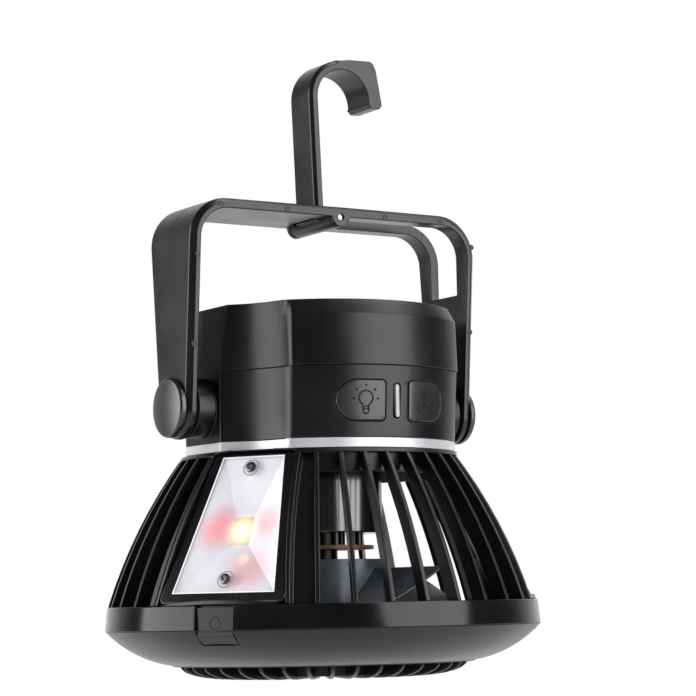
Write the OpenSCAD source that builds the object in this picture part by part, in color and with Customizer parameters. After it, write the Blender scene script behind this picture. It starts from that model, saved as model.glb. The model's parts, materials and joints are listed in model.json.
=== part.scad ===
// Portable camping fan: a caged axial fan with a battery box on top, two side
// lamps, a tilting carry handle and a fold-away hanging hook.
// Origin: on the fan axis at the lowest point of the front grille.
// +Z up, X along the handle pivot, buttons face -Y. Millimetres.

/* [Rim and bezel] */
// Outer radius of the rim ring at its lower edge
rim_r = 95.3; // [92:0.1:100]
// Draft of the rim ring, lower radius minus upper radius
rim_draft = 1.0; // [0:0.1:2]
// Height of the rim ring's lower edge
rim_z = 21.5; // [20:0.1:24]
// Height of the rim ring itself
rim_h = 10.3; // [9:0.1:12]
// Wall of the rim ring
rim_wall = 2.6; // [2:0.1:3.5]
// Outer radius of the bezel's lower edge
bezel_r = 65.7; // [62:0.1:70]
// Height of the bezel's lower edge
bezel_z = 6.0; // [5:0.1:8]
// How far the bezel's profile bulges out of a straight cone
bezel_bulge = 2.9; // [1:0.1:4]
// Wall of the bezel
bezel_wall = 2.4; // [2:0.1:3]

/* [Cage] */
// Number of places for a cage fin around the fan, at the spacing used in front
fin_places = 38; // [34:2:42]
// Angle between the fins of the rear arc
rear_pitch = 9.1; // [8.8:0.1:9.8]
// Thickness of one cage fin
fin_t = 2.0; // [1.6:0.1:2.6]
// Radial depth of a cage fin
fin_depth = 7; // [6:0.5:9]
// Outer radius of the cage at its top
cage_top_r = 60.8; // [60:0.1:62]
// Height of the cage's top face
cage_top_z = 96.5; // [94:0.1:99]
// How far the cage's outline bulges out of a straight cone
cage_bulge = 3.0; // [1:0.1:4]
// Height of the collar that joins the fins at the top
collar_h = 10; // [8:0.5:11]
// Height of the flange that closes the cage at the top
flange_h = 2; // [1.5:0.1:2.6]
// Thickness of the cage's closed top plate
top_plate_t = 2.6; // [2:0.1:3.5]

/* [Front grille] */
// Thickness of one grille rib
rib_t = 1.5; // [1.2:0.1:1.8]
// Depth of a grille rib along the fan axis
rib_h = 9; // [7:0.5:10]
// Radius at which the ribs start to curve up to the bezel
rib_flat_r = 44; // [36:1:52]
// Radius of the solid disc in the grille's middle
hub_disc_r = 23; // [20:0.5:27]

/* [Trim ring] */
// Height of the silver trim ring
trim_h = 4.05; // [3:0.05:6]

/* [Battery box] */
// Outer radius of the battery box at its seam
box_r_high = 63; // [62:0.1:63.5]
// How much the battery box narrows from its seam to its foot
box_draft = 2; // [1:0.1:3]
// Height of the battery box below the seam
box_h = 30.45; // [29:0.05:34]
// How deep the flat sides cut into the round box
flat_cut = 4; // [3.5:0.1:5]
// Distance from the axis to the middle of a scalloped corner
scallop_r = 55; // [54:0.1:56]
// Radius of curvature of a scalloped corner
scallop_curve = 38; // [34:1:44]
// Angle between the X axis and a scalloped corner's middle
scallop_az = 30; // [29:0.5:31]
// Wall of the battery box and its cap
box_wall = 2.5; // [2:0.1:3]
// How far the cap stands out past the box at the seam
cap_lip = 0.6; // [0.1:0.1:1.5]
// How much the cap narrows up to its chamfer
cap_draft = 0.7; // [0.5:0.1:1.5]
// How much the chamfer takes off the cap's radius
cap_chamfer_w = 3.6; // [2.5:0.1:4.5]
// Height of the cap below its chamfer
cap_h = 21.7; // [19:0.1:24]
// Height of the cap's chamfer
cap_chamfer_h = 6.5; // [4:0.1:8]
// How far the cap's flat sides lean in towards the top
cap_lean = 3.0; // [1.5:0.1:3.4]

/* [Battery] */
// Diameter of one 18650 cell
cell_d = 18.4; // [18:0.1:18.6]
// Length of one 18650 cell
cell_l = 65; // [64:0.5:66]
// Number of cells side by side
cell_count = 3; // [2:1:3]

/* [Buttons] */
// Height of a button
btn_h = 17; // [16:0.1:19]
// Width of a button
btn_w = 21; // [20:0.1:23]
// Sideways place of the button group's middle
btn_x = 0.3; // [0:0.1:2]
// Half the distance between the two buttons
btn_half_gap = 5.8; // [4:0.1:6.5]
// Height of the buttons' middle
btn_z = 116; // [114.5:0.1:117]
// How far a button stands out of the box
btn_proud = 0.5; // [0.2:0.1:1]
// Clearance around a button in its opening
btn_gap = 0.25; // [0.15:0.05:0.4]
// Travel of a button
btn_travel = 0.8; // [0.6:0.1:1]
// Width of the charge indicator bar
bar_w = 3.4; // [2.6:0.1:4]
// Height of the charge indicator bar
bar_h = 14.6; // [12:0.1:16]

/* [Side lamps] */
// Angle between the X axis and a lamp's middle
lamp_az = 30; // [29:0.5:31]
// Half width of the lamp frame at its top
lamp_top = 19.2; // [18.5:0.1:19.8]
// Half width of the lamp frame at its foot
lamp_foot = 30; // [29:0.1:31]
// Depth of the lamp module behind its face
lamp_depth = 10; // [9:0.5:11]
// Border of the lamp frame beside the lens
lamp_border = 5; // [4:0.1:6]
// Thickness of the clear lens
lens_t = 1.4; // [1:0.1:2]

/* [Motor and impeller] */
// Radius of the motor canister that hangs from the cage's top
can_r = 27; // [25:0.5:28]
// Height of the canister's closed lower end
can_z = 61.9; // [60:0.1:64]
// Radius of the motor's circuit board
board_r = 23; // [21:0.5:25]
// Radius of the motor shaft
shaft_r = 2.0; // [1.5:0.1:2.5]
// Outer radius of a motor bearing
bearing_r = 5.0; // [4.5:0.1:5.5]
// Height of a motor bearing
bearing_h = 4; // [3:0.5:5]
// Radial running clearance of the shaft in its bearings
shaft_fit = 0.03; // [0.02:0.01:0.06]
// Outer radius of the impeller's hub
hub_r = 29; // [28:0.5:31]
// Height of the hub's open upper rim
hub_top_z = 50.5; // [48:0.1:52]
// Height of the hub's closed lower face
hub_low_z = 24; // [21:0.5:26]
// Number of impeller blades
blade_count = 4; // [3:1:6]
// Tip radius of the blades
blade_r = 65.5; // [62:0.5:74]
// How much shorter a blade's upper corner is than its tip radius
blade_draft = 1; // [0.5:0.5:3]
// Height of a blade along the axis
blade_h = 20; // [16:0.5:21]
// Thickness of a blade
blade_t = 1.8; // [1.4:0.1:2.4]
// Angle that a blade's helix turns over its height
blade_turn = 37; // [30:1:50]

/* [Handle] */
// Half width between the handle's arms, inside
grip_half = 69.1; // [69:0.1:72]
// Thickness of the handle strap
strap_t = 4.6; // [4:0.1:5.4]
// Width of the strap along the crossbar
strap_w = 39.2; // [36:0.1:42]
// Width of the strap at the pivots
strap_w_low = 27; // [25:0.5:29]
// Chamfer on the strap's outer edges
strap_chamfer = 2.3; // [1.5:0.1:2.8]
// Height of the crossbar's underside
bar_z = 200.8; // [196:0.1:206]
// Inner radius of the handle's corners
corner_r = 14; // [11:0.5:18]
// Height of the pivot axis
pivot_z = 115.9; // [115:0.1:117]
// Radius of the pivot screw's shank
pivot_r = 3.0; // [2.5:0.1:3.5]
// Radial running clearance of the arm on the pivot screw
pivot_fit = 0.06; // [0.03:0.01:0.09]
// Radius of the pivot boss on the battery box
boss_r = 13; // [12:0.5:14]
// Radius of the round pivot cover
cover_r = 12.9; // [12:0.1:14]
// How far the pivot cover stands out of the arm
cover_h = 3.9; // [3.4:0.1:5]
// Width of the slot that the hook folds into
slot_w = 20.4; // [19:0.1:22]
// Height at which the slot ends on the right arm
slot_end_z = 170.6; // [166:0.1:174]

/* [Hook] */
// Width of the hook strip
hook_w = 18; // [16:0.1:18.6]
// Thickness of the hook strip
hook_t = 4.1; // [3.4:0.1:4.4]
// Radius of the round seat inside the hook
hook_r = 13.5; // [11:0.1:15]
// Height of the seat's middle above the hook's pivot
hook_reach = 55.4; // [50:0.1:58]
// Distance of the stem's inner face from the pivot axis
stem_offset = 2.2; // [1.8:0.1:2.4]
// Angle by which the raised hook leans back
hook_lean = 2; // [0:0.5:4]
// Sideways place of the hook's pivot
hook_x = 1.4; // [0:0.1:3]
// Radius of the hook's pivot pin
pin_r = 1.3; // [1:0.1:1.6]
// Radial running clearance of the hook on its pin
pin_fit = 0.05; // [0.03:0.01:0.09]
// Radius of the hook's hub and of the ears that hold its pin
hub_barrel_r = 4.4; // [4:0.1:4.8]
// Thickness of the handle's ear around the pin
ear_t = 2.5; // [2:0.1:3]

/* [Hidden] */
$fn = 96;

eps = 0.01;
quarter_az = [45, 135, 225, 315];
screw_r = 1.5; // small screws
screw_head_r = 2.8;
wire_hole_r = 6;
seat_gap = 0.3; // rest clearance between pieces that move past each other

// radii that follow the battery box
box_r_low = box_r_high - box_draft; // at the box's foot
trim_r = box_r_low; // outside of the silver trim ring
cap_r_low = box_r_high + cap_lip; // at the cap's seam
cap_r_mid = cap_r_low - cap_draft; // where the cap's chamfer starts
cap_r_top = cap_r_mid - cap_chamfer_w; // at the cap's flat top
flat_x = box_r_high - flat_cut; // flat sides, from the axis
thin_gap = 0.15; // clearance of a fixed insert in its pocket
rim_top_z = rim_z + rim_h;
rim_top_r = rim_r - rim_draft;
fin_pitch = 360 / fin_places;
box_z = cage_top_z + trim_h;
seam_z = box_z + box_h;
cap_z = seam_z + cap_h;
top_z = cap_z + cap_chamfer_h;
deck_z = cage_top_z - top_plate_t; // underside of the cage's top plate

// ---------- shared outlines ----------

// n + 1 points of a circle's arc from a to b that bulges by s to the right of a->b
function arc_points(a, b, s, n) =
    let (d = b - a, len = norm(d), r = (len * len / 4 + s * s) / (2 * s),
        mid = (a + b) / 2, side = [d.y, -d.x] / len, c = mid - side * (r - s),
        half = asin(len / 2 / r), base = atan2(side.y, side.x))
    [for (i = [0:n]) c + r * [cos(base - half + 2 * half * i / n),
        sin(base - half + 2 * half * i / n)]];

cage_arc = arc_points([rim_top_r - 0.4, rim_top_z], [cage_top_r, cage_top_z],
    cage_bulge, 8);
bezel_arc = arc_points([bezel_r, bezel_z], [rim_r, rim_z], bezel_bulge, 8);

// plan of the battery box: round front and back, flat sides, four scallops
module box_plan(r, inset = 0) {
    difference() {
        intersection() {
            circle(r = r - inset);
            square([2 * (flat_x - inset), 2 * r], center = true);
        }
        scallops(inset);
    }
}

module scallops(inset = 0) {
    for (sx = [-1, 1], sy = [-1, 1])
        rotate(sy * (sx > 0 ? scallop_az : 180 - scallop_az))
            translate([scallop_r + scallop_curve, 0])
                circle(r = scallop_curve + inset);
}

module scallop_cutters(z, h, inset = 0) {
    translate([0, 0, z]) linear_extrude(h) scallops(inset);
}

module ring(r_out, r_in, z, h) {
    translate([0, 0, z]) difference() {
        cylinder(r = r_out, h = h);
        translate([0, 0, -eps]) cylinder(r = r_in, h = h + 2 * eps);
    }
}

// children are drawn on the handle's pivot axis at x, their +Z along +X
module along_x(x) {
    translate([x, 0, pivot_z]) rotate([0, 90, 0]) children();
}

// one copy at radius r on each diagonal
module four_around(r) {
    for (a = quarter_az) rotate(a) translate([r, 0, 0]) children();
}

module both_sides() {
    for (m = [0, 1]) mirror([m, 0, 0]) children();
}

// ---------- side lamps: frame of reference ----------
lamp_top_z = cage_top_z - 1.1;
lamp_foot_z = rim_top_z + 0.8;
lamp_top_x = cage_top_r * cos(18.3) + 0.6;
lamp_foot_x = rim_top_r * cos(18.7) - 0.2;
lamp_tilt = atan((lamp_foot_x - lamp_top_x) / (lamp_top_z - lamp_foot_z));
lamp_len = (lamp_top_z - lamp_foot_z) / cos(lamp_tilt);
lens_top = lamp_top - lamp_border + 0.6;
lens_foot = lamp_foot - lamp_border - 0.8;
lens_low = -lamp_len / 2 + lamp_border - 0.2;
lens_high = lamp_len / 2 - 1.6;
lamp_screw_z = [lens_low + 6.1, lens_high - 5.5];
lamp_screw_r = 2.1; // head
lamp_shank_r = 1.2;
led_size = 5;
led_board_w = 13;
led_board_h = 17;
lamp_well = 7.4; // depth of the reflector's small end below the lamp's face
lamp_back_t = 1.6; // back wall of the lamp frame
lens_in = 0.3; // how far the lens lies below the frame's face

// children are drawn in the lamp's own frame: +X out of its face, +Z up the face
module at_lamp(side) {
    az = side < 0 ? -180 + lamp_az : -lamp_az;
    rotate(az) translate([(lamp_top_x + lamp_foot_x) / 2, 0,
        (lamp_top_z + lamp_foot_z) / 2]) rotate([0, -lamp_tilt, 0]) children();
}

// a trapezoid plate in the lamp's frame, from x0 to x1, half widths at its ends
module trapezoid(x0, x1, low_half, high_half, z_low, z_high) {
    translate([x0, 0, 0]) rotate([90, 0, 90]) linear_extrude(x1 - x0)
        polygon([[-low_half, z_low], [low_half, z_low],
            [high_half, z_high], [-high_half, z_high]]);
}

module lamp_block(x0, x1, grow = 0) {
    trapezoid(x0, x1, lamp_foot + grow, lamp_top + grow,
        -lamp_len / 2 - grow, lamp_len / 2 + grow);
}

module lens_block(x0, x1, grow = 0) {
    trapezoid(x0, x1, lens_foot + grow, lens_top + grow,
        lens_low - grow, lens_high + grow);
}

// tongue at the lamp frame's foot that hooks into the cage
module lamp_tongue(grow = 0) {
    tongue_w = 14;
    translate([-2.6 - grow, -tongue_w / 2 - grow, -lamp_len / 2 - 1.4 - grow])
        cube([2.6 + 2 * grow, tongue_w + 2 * grow, 2.4 + grow]);
}

module both_lamps() {
    for (side = [-1, 1]) at_lamp(side) children();
}

module lamp_screw_holes(x0, x1, r) {
    for (z = lamp_screw_z) translate([x0, 0, z]) rotate([0, 90, 0])
        cylinder(r = r, h = x1 - x0);
}

// ---------- cage ----------
lamp_half_az = 19.5; // half of the angle that a lamp takes out of the cage
panel_r_gap = 3.2; // how far the closed panels lie behind the fins' edges
panel_t = 1.8;

pocket_in = 14; // how far the walls of the lamp pockets reach inwards
rear_half = floor((90 + lamp_az - lamp_half_az) / rear_pitch);

function in_front(a) = abs(a + 90) < 90 - lamp_az - lamp_half_az;

// azimuth of the first fin in front of the left lamp
panel_end = -180 + fin_pitch * ceil((lamp_az + lamp_half_az) / fin_pitch);

collar_r = cage_top_r - 3.2; // outer face of the collar that the fins end at
pocket_wall = 2.2; // wall of the pockets that hold the lamps
wire_slot = 20; // square opening behind each lamp

// the space that the lamps and their pockets' walls take
module lamp_pockets() {
    both_lamps() lamp_block(-lamp_depth - pocket_wall, 14, pocket_wall);
}

module fin_plate(a) {
    rotate(a) translate([rim_top_r / 2, -fin_t / 2, rim_top_z])
        cube([rim_top_r / 2, fin_t, cage_top_z - flange_h - rim_top_z]);
}

module cage_fins() {
    inner = [for (i = [8:-1:0]) cage_arc[i] - [fin_depth, 0]];
    color("#1c1c1e") difference() {
        intersection() {
            rotate_extrude() polygon(concat(cage_arc, inner));
            union() {
                for (i = [0:fin_places - 1]) if (in_front(-180 + i * fin_pitch))
                    fin_plate(-180 + i * fin_pitch);
                for (i = [-rear_half:rear_half]) fin_plate(90 + i * rear_pitch);
            }
        }
        lamp_pockets();
        translate([0, 0, cage_top_z - collar_h]) cylinder(r = collar_r, h = collar_h + 1);
    }
}

// closed wall between a lamp and the next fin in front of it
module lamp_panels() {
    start = -180 + lamp_az + lamp_half_az - 3;
    both_sides() difference() {
        rotate(start) rotate_extrude(angle = panel_end - start)
            polygon(concat([for (p = cage_arc) p - [panel_r_gap, 0]],
                [for (i = [8:-1:0]) cage_arc[i] - [panel_r_gap + panel_t, 0]]));
        fin_plate(panel_end);
    }
}

module lamp_walls() {
    intersection() {
        rotate_extrude() polygon(concat([for (p = cage_arc) p - [0.3, 0]],
            [[cage_top_r - pocket_in, cage_top_z],
             [rim_top_r - pocket_in - 2, rim_top_z]]));
        difference() {
            lamp_pockets();
            both_lamps() translate([-lamp_depth - 2 * pocket_wall, -wire_slot / 2,
                -wire_slot / 2]) cube([4 * pocket_wall, wire_slot, wire_slot]);
        }
    }
}

skirt_r = rim_top_r - rim_wall; // the cage's skirt inside the rim ring
skirt_t = 2.4;

module fan_housing() {
    color("#1c1c1e") difference() {
        union() {
            lamp_panels();
            lamp_walls();
            ring(collar_r, collar_r - 2.8, cage_top_z - collar_h, collar_h);
            // flange that the fins end under
            rotate_extrude() intersection() {
                polygon(concat(cage_arc, [[collar_r - 2, cage_top_z],
                    [collar_r - 2, rim_top_z]]));
                translate([0, cage_top_z - flange_h]) square([rim_top_r, flange_h + 1]);
            }
            translate([0, 0, deck_z]) cylinder(r = collar_r - 0.2, h = top_plate_t);
            ring(skirt_r, rim_top_r - fin_depth - 1.5, rim_top_z - 2.6, 2.6);
            ring(skirt_r, skirt_r - skirt_t, rim_z + 1.5, rim_h - 1.5);
        }
        both_lamps() {
            lamp_block(-lamp_depth - thin_gap, 14, thin_gap);
            lamp_tongue(thin_gap);
        }
        four_around(can_screw_r) translate([0, 0, deck_z - 1])
            cylinder(r = screw_r + 0.1, h = top_plate_t + 2);
        translate([0, 0, deck_z - 1]) cylinder(r = wire_hole_r, h = top_plate_t + 2);
    }
}

// ---------- rim, bezel, grille ----------
notch_w = 17.5; // width of the notch under each lamp
notch_h = 5.9; // how far the notch reaches down into the bezel
latch_z = rim_z - notch_h;
latch_t = 1.3;
grille_screw_r = bezel_r + 3.6;
ear_z = bezel_z + 5.5; // top of the bezel's bosses, where the grille's ears lie
grille_ear_t = 1.8;
grille_ear_w = 8;
grille_head_h = 1.6;

// children are drawn at the middle of each notch, +X outwards
module at_notches() {
    for (az = [-180 + lamp_az, -lamp_az]) rotate(az) children();
}

module rim_ring() {
    color("#141415") difference() {
        translate([0, 0, rim_z]) cylinder(r1 = rim_r, r2 = rim_top_r, h = rim_h);
        translate([0, 0, rim_z - eps]) cylinder(r = skirt_r + 0.05, h = rim_h + 1);
        at_notches() translate([skirt_r - 4, -notch_w / 2, rim_z - eps])
            cube([3 * rim_wall, notch_w, rim_h + 1]);
        both_lamps() lamp_block(-lamp_depth - thin_gap, 14, thin_gap);
    }
}

// height at radius r of the straight line between the bezel's two edges
function bezel_chord_z(r) = bezel_z + (rim_z - bezel_z) * (r - bezel_r)
    / (rim_r - bezel_r);

module bezel() {
    lip_h = 3;
    lip_r = bezel_r - 2.2;
    flange_r = skirt_r - skirt_t - 0.2; // ring that fits inside the cage's skirt
    flange_in = flange_r - 3.2;
    inner = [for (p = bezel_arc) p + [-0.35 * bezel_wall, bezel_wall]];
    color("#1b1b1d") difference() {
        union() {
            rotate_extrude() polygon(concat(bezel_arc, [[rim_r - bezel_wall, rim_z]],
                [for (i = [7:-1:0]) inner[i]]));
            ring(bezel_r + 0.6, lip_r, bezel_z, lip_h);
            rotate_extrude() polygon([[flange_in, bezel_chord_z(flange_in) - 1],
                [flange_r, bezel_chord_z(flange_r) - 1],
                [flange_r, rim_z + 2.6], [flange_in, rim_z + 2.6]]);
            four_around(grille_screw_r) translate([0, 0, bezel_z + 2])
                cylinder(r = 3.4, h = ear_z - bezel_z - 2);
        }
        at_notches() translate([flange_in - 0.6, -notch_w / 2, latch_z])
            cube([rim_r - flange_in, notch_w, notch_h + 3]);
        four_around(grille_screw_r) translate([0, 0, bezel_z + 2.4])
            cylinder(r = screw_r, h = ear_z);
        translate([0, 0, bezel_z - 1]) cylinder(r = lip_r, h = ear_z - bezel_z + 1);
    }
}

module rib_profile() {
    r_end = bezel_r - 2.6;
    polygon(concat([[hub_disc_r - 1, rib_h], [hub_disc_r - 1, 0], [rib_flat_r, 0]],
        [for (a = [15:15:90]) [rib_flat_r + (r_end - rib_flat_r) * sin(a),
            bezel_z * (1 - cos(a))]], [[r_end, rib_h]]));
}

module front_grille() {
    ring_r = bezel_r - 2.35;
    color("#1a1a1c") {
        for (i = [0:fin_places - 1]) rotate((i + 0.5) * fin_pitch)
            translate([0, rib_t / 2, 0]) rotate([90, 0, 0])
                linear_extrude(rib_t) rib_profile();
        translate([0, 0, 1]) cylinder(r = hub_disc_r, h = 2.4);
        ring(ring_r, ring_r - 2.4, bezel_z + 0.6, ear_z + grille_ear_t - bezel_z - 0.6);
        ring(rib_flat_r + 0.8, rib_flat_r - 0.8, 1.2, rib_h - 1.4);
        difference() {
            for (a = quarter_az) rotate(a) translate([ring_r - 1.6,
                -grille_ear_w / 2, ear_z])
                cube([grille_screw_r - ring_r + grille_ear_w / 2 + 1.6,
                    grille_ear_w, grille_ear_t]);
            four_around(grille_screw_r) translate([0, 0, ear_z - 1])
                cylinder(r = screw_r, h = grille_ear_t + 2);
        }
    }
}

module grille_screws() {
    color("#5a5a5e") four_around(grille_screw_r) {
        translate([0, 0, bezel_z + 3]) cylinder(r = screw_r,
            h = ear_z + grille_ear_t - bezel_z - 3);
        translate([0, 0, ear_z + grille_ear_t]) cylinder(r = screw_head_r,
            h = grille_head_h);
    }
}

// snap latch that closes each notch: upright plate with a sloping foot
module latch_tabs() {
    x0 = skirt_r + 0.02;
    color("#2a2a2d") at_notches() translate([0, notch_w / 2 - 0.3, 0])
        rotate([90, 0, 0]) linear_extrude(notch_w - 0.6) polygon([
            [x0 - 5.6, latch_z + 0.2], [x0 - 3.4, latch_z + 0.2],
            [x0 + latch_t, latch_z + 3.6], [x0 + latch_t, rim_top_z - 0.8],
            [x0, rim_top_z - 0.8], [x0, latch_z + 4.2],
            [x0 - 2.3, latch_z + 2], [x0 - 5.6, latch_z + 2]]);
}

// ---------- battery box ----------
module trim_ring() {
    color("#b9bcc2") difference() {
        translate([0, 0, cage_top_z]) linear_extrude(trim_h) box_plan(trim_r);
        translate([0, 0, cage_top_z - eps]) cylinder(r = scallop_r - 5,
            h = trim_h + 2 * eps);
    }
}

cap_screw_r = 45.5;
can_screw_r = can_r - 4;
floor_t = 2.6;
spigot_r = scallop_r - 5.15; // foot of the battery box inside the trim ring
spigot_wall = 7.8;
head_t2 = 2; // height of a small screw's head
pivot_boss_x = grip_half - seat_gap - 1.2; // outer face of the pivot boss

module box_skin(extra = 0) {
    translate([0, 0, box_z])
        cylinder(r1 = box_r_low + extra, r2 = box_r_high + extra, h = box_h);
}

// D-shaped opening or button, round end away from the middle; g grows it
module button_outline(side, g = 0) {
    r = btn_h / 2;
    corner = 1.8;
    translate([btn_x, btn_z]) scale([side, 1]) translate([btn_half_gap, 0]) {
        translate([btn_w - r, 0]) circle(r = r + g);
        translate([corner, -r - g]) square([btn_w - r - corner, btn_h + 2 * g]);
        translate([-g, -r + corner]) square([corner + g, btn_h - 2 * corner]);
        for (s = [-1, 1]) translate([corner, s * (r - corner)]) circle(r = corner + g);
    }
}

module bar_outline(g = 0) {
    translate([btn_x, btn_z]) {
        square([bar_w + 2 * g, bar_h - bar_w], center = true);
        for (s = [-1, 1]) translate([0, s * (bar_h - bar_w) / 2])
            circle(r = bar_w / 2 + g);
    }
}

module front_prism(depth_from, depth_to) {
    translate([0, -depth_from, 0]) rotate([90, 0, 0])
        linear_extrude(depth_to - depth_from) children();
}

port_w = 9.4;
port_h = 3.6;
port_depth = 9;
port_z = box_z + 12;

module port_outline(g = 0) {
    square([port_w - port_h, port_h + 2 * g], center = true);
    for (s = [-1, 1]) translate([s * (port_w - port_h) / 2, 0])
        circle(r = port_h / 2 + g);
}

charge_board_z = port_z - port_h / 2 - 1.4; // underside of the charge board
cap_screw_head_z = cage_top_z + 2.6;
guide_w = 3;

module battery_housing() {
    color("#1d1d20") difference() {
        union() {
            difference() {
                intersection() {
                    box_skin();
                    translate([-flat_x, -box_r_high, box_z])
                        cube([2 * flat_x, 2 * box_r_high, box_h]);
                }
                scallop_cutters(box_z - 1, box_h + 2);
                translate([0, 0, box_z + floor_t]) linear_extrude(box_h)
                    box_plan(box_r_low, box_wall);
            }
            // foot that centres the trim ring and stands on the cage
            ring(spigot_r, spigot_r - spigot_wall, cage_top_z, trim_h + eps);
            four_around(can_screw_r) translate([0, 0, cage_top_z])
                cylinder(r = 4.2, h = trim_h + eps);
            both_sides() along_x(flat_x - box_wall - 4)
                cylinder(r = boss_r, h = pivot_boss_x - flat_x + box_wall + 4);
            four_around(cap_screw_r) translate([0, 0, box_z])
                cylinder(r = 3.4, h = box_h);
            // guides that hold the control board upright
            for (s = [-1, 1]) translate([s * board_half_w - guide_w / 2,
                -pcb_y - guide_w / 2, box_z + floor_t - eps])
                cube([guide_w, pcb_t + guide_w, box_h - floor_t - 4]);
            // shelf under the charge board
            translate([-9, port_y - 12, box_z + floor_t - eps])
                cube([18, 3, charge_board_z - box_z - floor_t + eps]);
        }
        both_sides() along_x(flat_x - box_wall - 5) cylinder(r = pivot_r, h = 30);
        four_around(cap_screw_r) translate([0, 0, cage_top_z - 1])
            cylinder(r = screw_r + 0.1, h = box_h + trim_h + 2);
        four_around(cap_screw_r) translate([0, 0, cage_top_z - 1])
            cylinder(r = screw_head_r + 0.2, h = cap_screw_head_z - cage_top_z + 1);
        four_around(can_screw_r) translate([0, 0, cage_top_z - 1])
            cylinder(r = screw_r + 0.1, h = trim_h + floor_t + 2);
        translate([0, 0, box_z - 1]) cylinder(r = wire_hole_r, h = floor_t + 2);
        front_prism(box_r_low - 14, box_r_high + 6) {
            button_outline(-1, btn_gap);
            button_outline(1, btn_gap);
            bar_outline();
        }
        translate([0, port_y - port_depth - 1, port_z]) rotate([-90, 0, 0])
            linear_extrude(2 * port_depth) port_outline(thin_gap);
        translate([-board_half_w - 0.1, -pcb_y - 0.05, box_z + floor_t])
            cube([2 * board_half_w + 0.2, pcb_t + 0.1, box_h]);
    }
}

module cap_body(inset = 0) {
    top = top_z - inset;
    difference() {
        intersection() {
            union() {
                translate([0, 0, seam_z])
                    cylinder(r1 = cap_r_low - inset, r2 = cap_r_mid - inset, h = cap_h);
                translate([0, 0, cap_z]) cylinder(r1 = cap_r_mid - inset,
                    r2 = cap_r_top - inset, h = top - cap_z);
            }
            translate([0, cap_r_low, 0]) rotate([90, 0, 0])
                linear_extrude(2 * cap_r_low) polygon([
                    [-flat_x + inset, seam_z], [flat_x - inset, seam_z],
                    [flat_x - inset - cap_lean, top], [-flat_x + inset + cap_lean, top]]);
        }
        scallop_cutters(seam_z - 1, top_z - seam_z + 2, inset);
    }
}

cap_thread = 12; // how deep a cap screw reaches into the cap

module battery_cap() {
    color("#1a1a1c") difference() {
        union() {
            difference() {
                cap_body();
                translate([0, 0, -eps]) cap_body(box_wall);
            }
            four_around(cap_screw_r) translate([0, 0, seam_z])
                cylinder(r = 3.4, h = top_z - seam_z - 1);
        }
        four_around(cap_screw_r) translate([0, 0, seam_z - 1])
            cylinder(r = screw_r, h = cap_thread + 2);
    }
}

// long screws from the housing's foot up into the cap
module cap_screws() {
    color("#707176") four_around(cap_screw_r) {
        translate([0, 0, cap_screw_head_z - head_t2])
            cylinder(r = screw_head_r, h = head_t2);
        translate([0, 0, cap_screw_head_z]) cylinder(r = screw_r,
            h = seam_z + cap_thread - cap_screw_head_z);
    }
}

// screws from the battery box's floor down into the motor canister's bosses
module cage_screws() {
    color("#707176") four_around(can_screw_r) {
        translate([0, 0, box_z + floor_t]) cylinder(r = screw_head_r, h = head_t2);
        translate([0, 0, deck_z - 8]) cylinder(r = screw_r,
            h = box_z + floor_t - deck_z + 8);
    }
}

// ---------- battery and electronics ----------
cell_z = box_z + floor_t + 2.2 + cell_d / 2;
cell_pitch = cell_d + 0.8;

module battery_cells() {
    color("#2f6f8f") for (i = [0:cell_count - 1])
        translate([-cell_l / 2, (i - (cell_count - 1) / 2) * cell_pitch, cell_z])
            rotate([0, 90, 0]) {
                cylinder(r = cell_d / 2, h = cell_l - 1);
                translate([0, 0, cell_l - 1]) cylinder(r = 2.8, h = 1);
            }
}

module cell_holder() {
    w = cell_count * cell_pitch + 1.6;
    cradle_h = cell_z - box_z - floor_t;
    cradle_t = 8;
    color("#303236") difference() {
        union() {
            for (s = [-1, 1])
                translate([s * (cell_l / 2 - 10) - cradle_t / 2, -w / 2,
                    box_z + floor_t]) cube([cradle_t, w, cradle_h]);
            translate([-cell_l / 2 + 6, -w / 2, box_z + floor_t])
                cube([cell_l - 12, w, 1.6]);
        }
        for (i = [0:cell_count - 1])
            translate([-cell_l, (i - (cell_count - 1) / 2) * cell_pitch, cell_z])
                rotate([0, 90, 0]) cylinder(r = cell_d / 2 + 0.05, h = 2 * cell_l);
        four_around(can_screw_r) translate([0, 0, box_z])
            cylinder(r = screw_head_r + 0.4, h = 2 * cradle_h);
        translate([0, 0, box_z]) cylinder(r = wire_hole_r, h = cradle_h);
    }
}

module cell_tabs() {
    tab_t = 0.3;
    tab_h = 8;
    w = (cell_count - 1) * cell_pitch + cell_d / 2;
    color("#c9c6bd") for (x = [-cell_l / 2 - tab_t, cell_l / 2])
        translate([x, -w / 2, cell_z - tab_h / 2]) cube([tab_t, w, tab_h]);
}

pcb_depth = 17.4; // from the box's front to the control board
pcb_y = box_r_low - pcb_depth; // front face of the control board, ahead of the axis
pcb_t = 1.6;
board_half_w = 31;
switch_body = 3.5;
switch_stem = 0.9;

module control_board() {
    color("#1f5b3a") translate([-board_half_w, -pcb_y, box_z + floor_t])
        cube([2 * board_half_w, pcb_t, box_h - floor_t - 1]);
}

module tact_switches() {
    switch_w = 6;
    stem_r = 1.75;
    color("#8a8c90") for (s = [-1, 1])
        translate([btn_x + s * (btn_half_gap + btn_w / 2), -pcb_y, btn_z])
            rotate([90, 0, 0]) {
                translate([-switch_w / 2, -switch_w / 2, 0])
                    cube([switch_w, switch_w, switch_body]);
                cylinder(r = stem_r, h = switch_body + switch_stem);
            }
}

port_inset = 1.4; // from the box's back to the mouth of the charge port
port_y = box_r_low - port_inset; // mouth of the charge port, behind the axis

module charge_board() {
    color("#1f5b3a") translate([-8, port_y - 12, charge_board_z]) cube([16, 9, 1.4]);
}

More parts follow.
